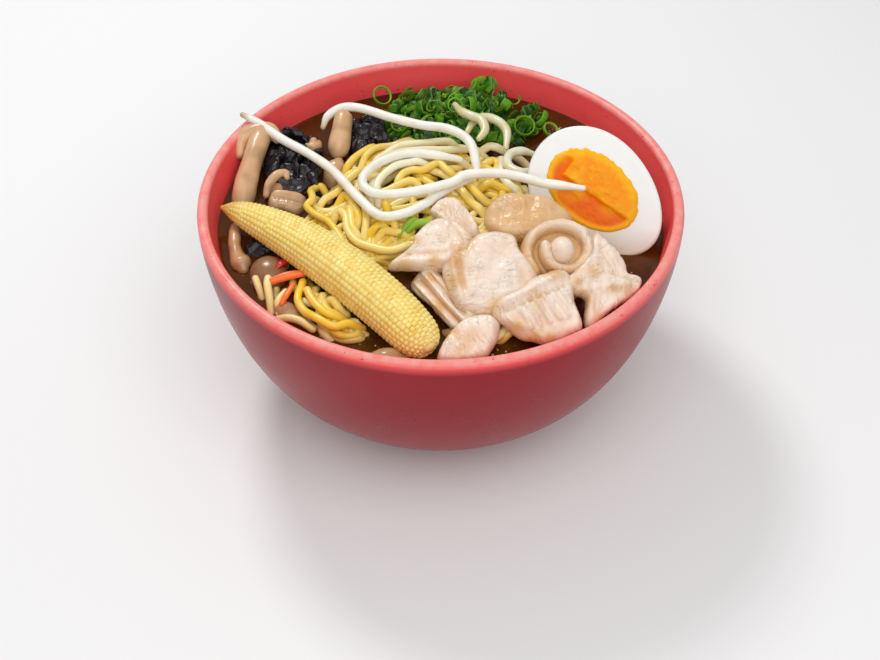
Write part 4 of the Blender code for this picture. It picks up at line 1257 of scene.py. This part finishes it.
# light rings that lie open: middle, axis, radius and width
openRings = [
    ((35, 52, 86.5), (0.1, -0.5, 0.8), 4.2, 2.4), ((-25, 73, 87), (0.3, -0.4, 0.6), 4.0, 2.0),
    ((-17, 53, 87), (-0.2, -0.5, 0.7), 3.6, 3.0), ((6, 59, 92), (0.2, -0.6, 0.6), 3.0, 1.6),
    ((46, 52, 84.5), (0.4, -0.3, 0.8), 3.2, 2.0),
]
# the tallest shred, then one that lies among the noodles with its pale stalk: tone, flatness, course
shreds = [
    (0.2, 0.5, [(17, 74, 86, 1.6), (19, 75, 91, 1.5), (20, 75, 95.5, 0.6)]),
    (0.65, 0.6, [
        (-16, -22, 89, 0.8), (-13.5, -18, 90.6, 1.7), (-10.5, -15, 91.6, 1.9), (-8, -16, 91.2, 1.1),
    ]),
    (1.0, 0.7, [
        (-13, -20, 89.6, 0.9), (-9.5, -17.6, 91.4, 1.5), (-5.5, -17, 91.6, 1.6), (-2, -18, 91, 1.2),
    ]),
]


def scallionTop(x, y):
    rise = hill(x, y, (14, 66), 4.5, 16) + hill(x, y, (-10, 62), 3.0, 14)
    rise += hill(x, y, *scallionSizes["peak"])
    return brothSizes["level"] + 5.2 + rise


# a cut ring, or part of one: a thin band round an axis
def addRing(bm, centre, axis, radius, width, sweepAngle, tone, squash=1.0):
    normal = Vector(axis).normalized()
    side = normal.orthogonal().normalized()
    other = normal.cross(side)
    steps = max(8, int(sweepAngle / fullTurn * 18))
    closed = sweepAngle > fullTurn * 0.97
    stations = []
    for i in range(steps + 1):
        angle = sweepAngle * i / steps
        outward = side * math.cos(angle) + other * math.sin(angle) * squash
        thin = 1.0 if closed or 0 < i < steps else 0.01
        wall = scallionSizes["wall"] / 2 * thin
        stations.append((centre + outward * radius, outward.normalized() * wall, normal * width / 2 * thin))

    def paleInside(t, turn):
        cutEdge = 0.35 if abs(math.sin(turn)) > 0.95 else 0.0
        return (0.2 + 0.5 * tone) * max(0.0, -math.cos(turn)) + cutEdge

    sweep(bm, stations, 8, tone, paleInside)


# the white end of a stalk grows paler along it
def paleStalk(t, turn):
    return 0.3 + 0.6 * t


def makeScallions():
    size = scallionSizes
    draw = random.Random(size["seed"])
    bm = newShape()
    for _ in range(size["pieces"]):
        angle = draw.uniform(0, fullTurn)
        out = (aroundCircle(size["reach"], angle) - 2.0) * math.sqrt(draw.random())
        x, y = pointAt(size["centre"], out, angle)
        z = scallionTop(x, y) - draw.uniform(0.0, 4.5)
        axis = (draw.gauss(0, 0.8), draw.gauss(0, 0.8), 0.25 + draw.random())
        share = draw.choice((0.4, 0.5, 0.65, 0.8, 1.0))
        addRing(bm, Vector((x, y, z)), axis, draw.uniform(1.8, 3.3) / share**0.3, draw.uniform(1.5, 4.4),
                fullTurn * share, draw.random() ** 2.0, draw.uniform(0.35, 1.0))
    for centre, axis, radius, width in openRings:
        addRing(bm, Vector(centre), axis, radius, width, fullTurn, 1.0)
    for tone, flat, route in shreds:
        sweep(bm, strandStations(smoothCourse(route, 5), flat), 10, tone, paleStalk if tone > 0.5 else None)
    finishPiece(bm, "springOnionRings", scallionLook, ["scallions"])


# what lies under the rings
def makeScallionCore():
    size = scallionSizes
    bm = newShape()
    bmesh.ops.create_uvsphere(bm, u_segments=48, v_segments=24, radius=1.0)
    edge = brothSizes["level"] - 3.0
    for vert in bm.verts:
        angle = math.atan2(vert.co.y, vert.co.x)
        out = (aroundCircle(size["reach"], angle) - 3.0) * math.hypot(vert.co.x, vert.co.y)
        x, y = pointAt(size["centre"], out, angle)
        top = scallionTop(x, y) - 3.5 - hill(x, y, *size["peak"])
        z = edge + (top - edge) * max(vert.co.z, 0.0) ** 0.7 + min(vert.co.z, 0.0) * 5.0
        vert.co = (x, y, z + 0.5 * math.sin(x * 1.3) * math.cos(y * 1.1))
    finishPiece(bm, "springOnionCore", scallionLook)


makeScallionCore()
makeScallions()
print("spring onion scattered")


# oil and froth along the edges: the middle and the spread of each patch
bubbleSizes = {"count": 170, "seed": 8, "least": 0.25, "most": 0.65}
bubbleSpots = [
    ((-62, 26), 14), ((-70, 0), 8), ((-52, -62), 14), ((-30, -76), 10), ((20, -78), 10),
    ((66, -28), 8), ((-35, 52), 10), ((-80, 5), 5), ((50, 60), 10),
]


def makeBubbles():
    size = bubbleSizes
    draw = random.Random(size["seed"])
    bm = newShape()
    toneLayer = bm.verts.layers.float["tone"]
    limit = innerRadius(lipHeight - brothSizes["level"]) - 0.6
    for k in range(size["count"]):
        (cx, cy), spread = bubbleSpots[k % len(bubbleSpots)]
        x, y = draw.gauss(cx, spread / 2), draw.gauss(cy, spread / 2)
        away = math.hypot(x, y)
        if away > limit:
            x, y = x * limit / away, y * limit / away
        radius = size["least"] + (size["most"] - size["least"]) * draw.random() ** 2.5
        ball = bmesh.ops.create_uvsphere(bm, u_segments=8, v_segments=5, radius=radius)
        tone = draw.random()
        for vert in ball["verts"]:
            vert.co = Vector((vert.co.x + x, vert.co.y + y, vert.co.z * 0.7 + brothSizes["level"]))
            vert[toneLayer] = tone
    finishPiece(bm, "oilBubbles", oilLook)


makeBubbles()


def makeStage():
    look = newMaterial("paleFloor", {"Base Color": linear("#F4F4F4"), "Roughness": 0.9})[0]
    bm = bmesh.new()
    bmesh.ops.create_grid(bm, x_segments=1, y_segments=1, size=6.0)
    mesh = bpy.data.meshes.new("floor")
    bm.to_mesh(mesh)
    bm.free()
    mesh.materials.append(look)
    floor = bpy.data.objects.new("floor", mesh)
    bpy.context.scene.collection.objects.link(floor)


# in metres: a small key behind and a large soft light in front, both aimed at the food, and an even sky
lights = {
    "keyBehind": {"place": (-0.3, 0.5, 0.8), "size": 0.25, "watts": 3.4},
    "topFront": {"place": (0.1, -0.62, 0.88), "size": 1.2, "watts": 6.2},
}
lightTarget = (0, 0, 0.08)
skyStrength = 0.42
cameraSizes = {"place": (-0.00027, -0.48029, 0.47791), "lens": 64.223, "downward": 43.735}


def makeLights():
    for name, light in lights.items():
        data = bpy.data.lights.new(name, "AREA")
        data.shape = "DISK"
        data.size = light["size"]
        data.energy = light["watts"]
        lamp = bpy.data.objects.new(name, data)
        lamp.location = light["place"]
        aim = Vector(lightTarget) - lamp.location
        lamp.rotation_euler = aim.to_track_quat("-Z", "Y").to_euler()
        bpy.context.scene.collection.objects.link(lamp)
    world = bpy.data.worlds.new("softSky")
    world.use_nodes = True
    sky = world.node_tree.nodes["Background"]
    sky.inputs["Color"].default_value = linear("#FFFFFF")
    sky.inputs["Strength"].default_value = skyStrength
    bpy.context.scene.world = world


def makeCamera():
    data = bpy.data.cameras.new("camera")
    data.sensor_width = 36.0
    data.lens = cameraSizes["lens"]
    camera = bpy.data.objects.new("camera", data)
    camera.location = cameraSizes["place"]
    camera.rotation_euler = (math.radians(90 - cameraSizes["downward"]), 0, 0)
    bpy.context.scene.collection.objects.link(camera)
    bpy.context.scene.camera = camera


makeStage()
makeLights()
makeCamera()
bpy.context.scene.view_settings.view_transform = "Standard"
print("stage, lights and camera ready")
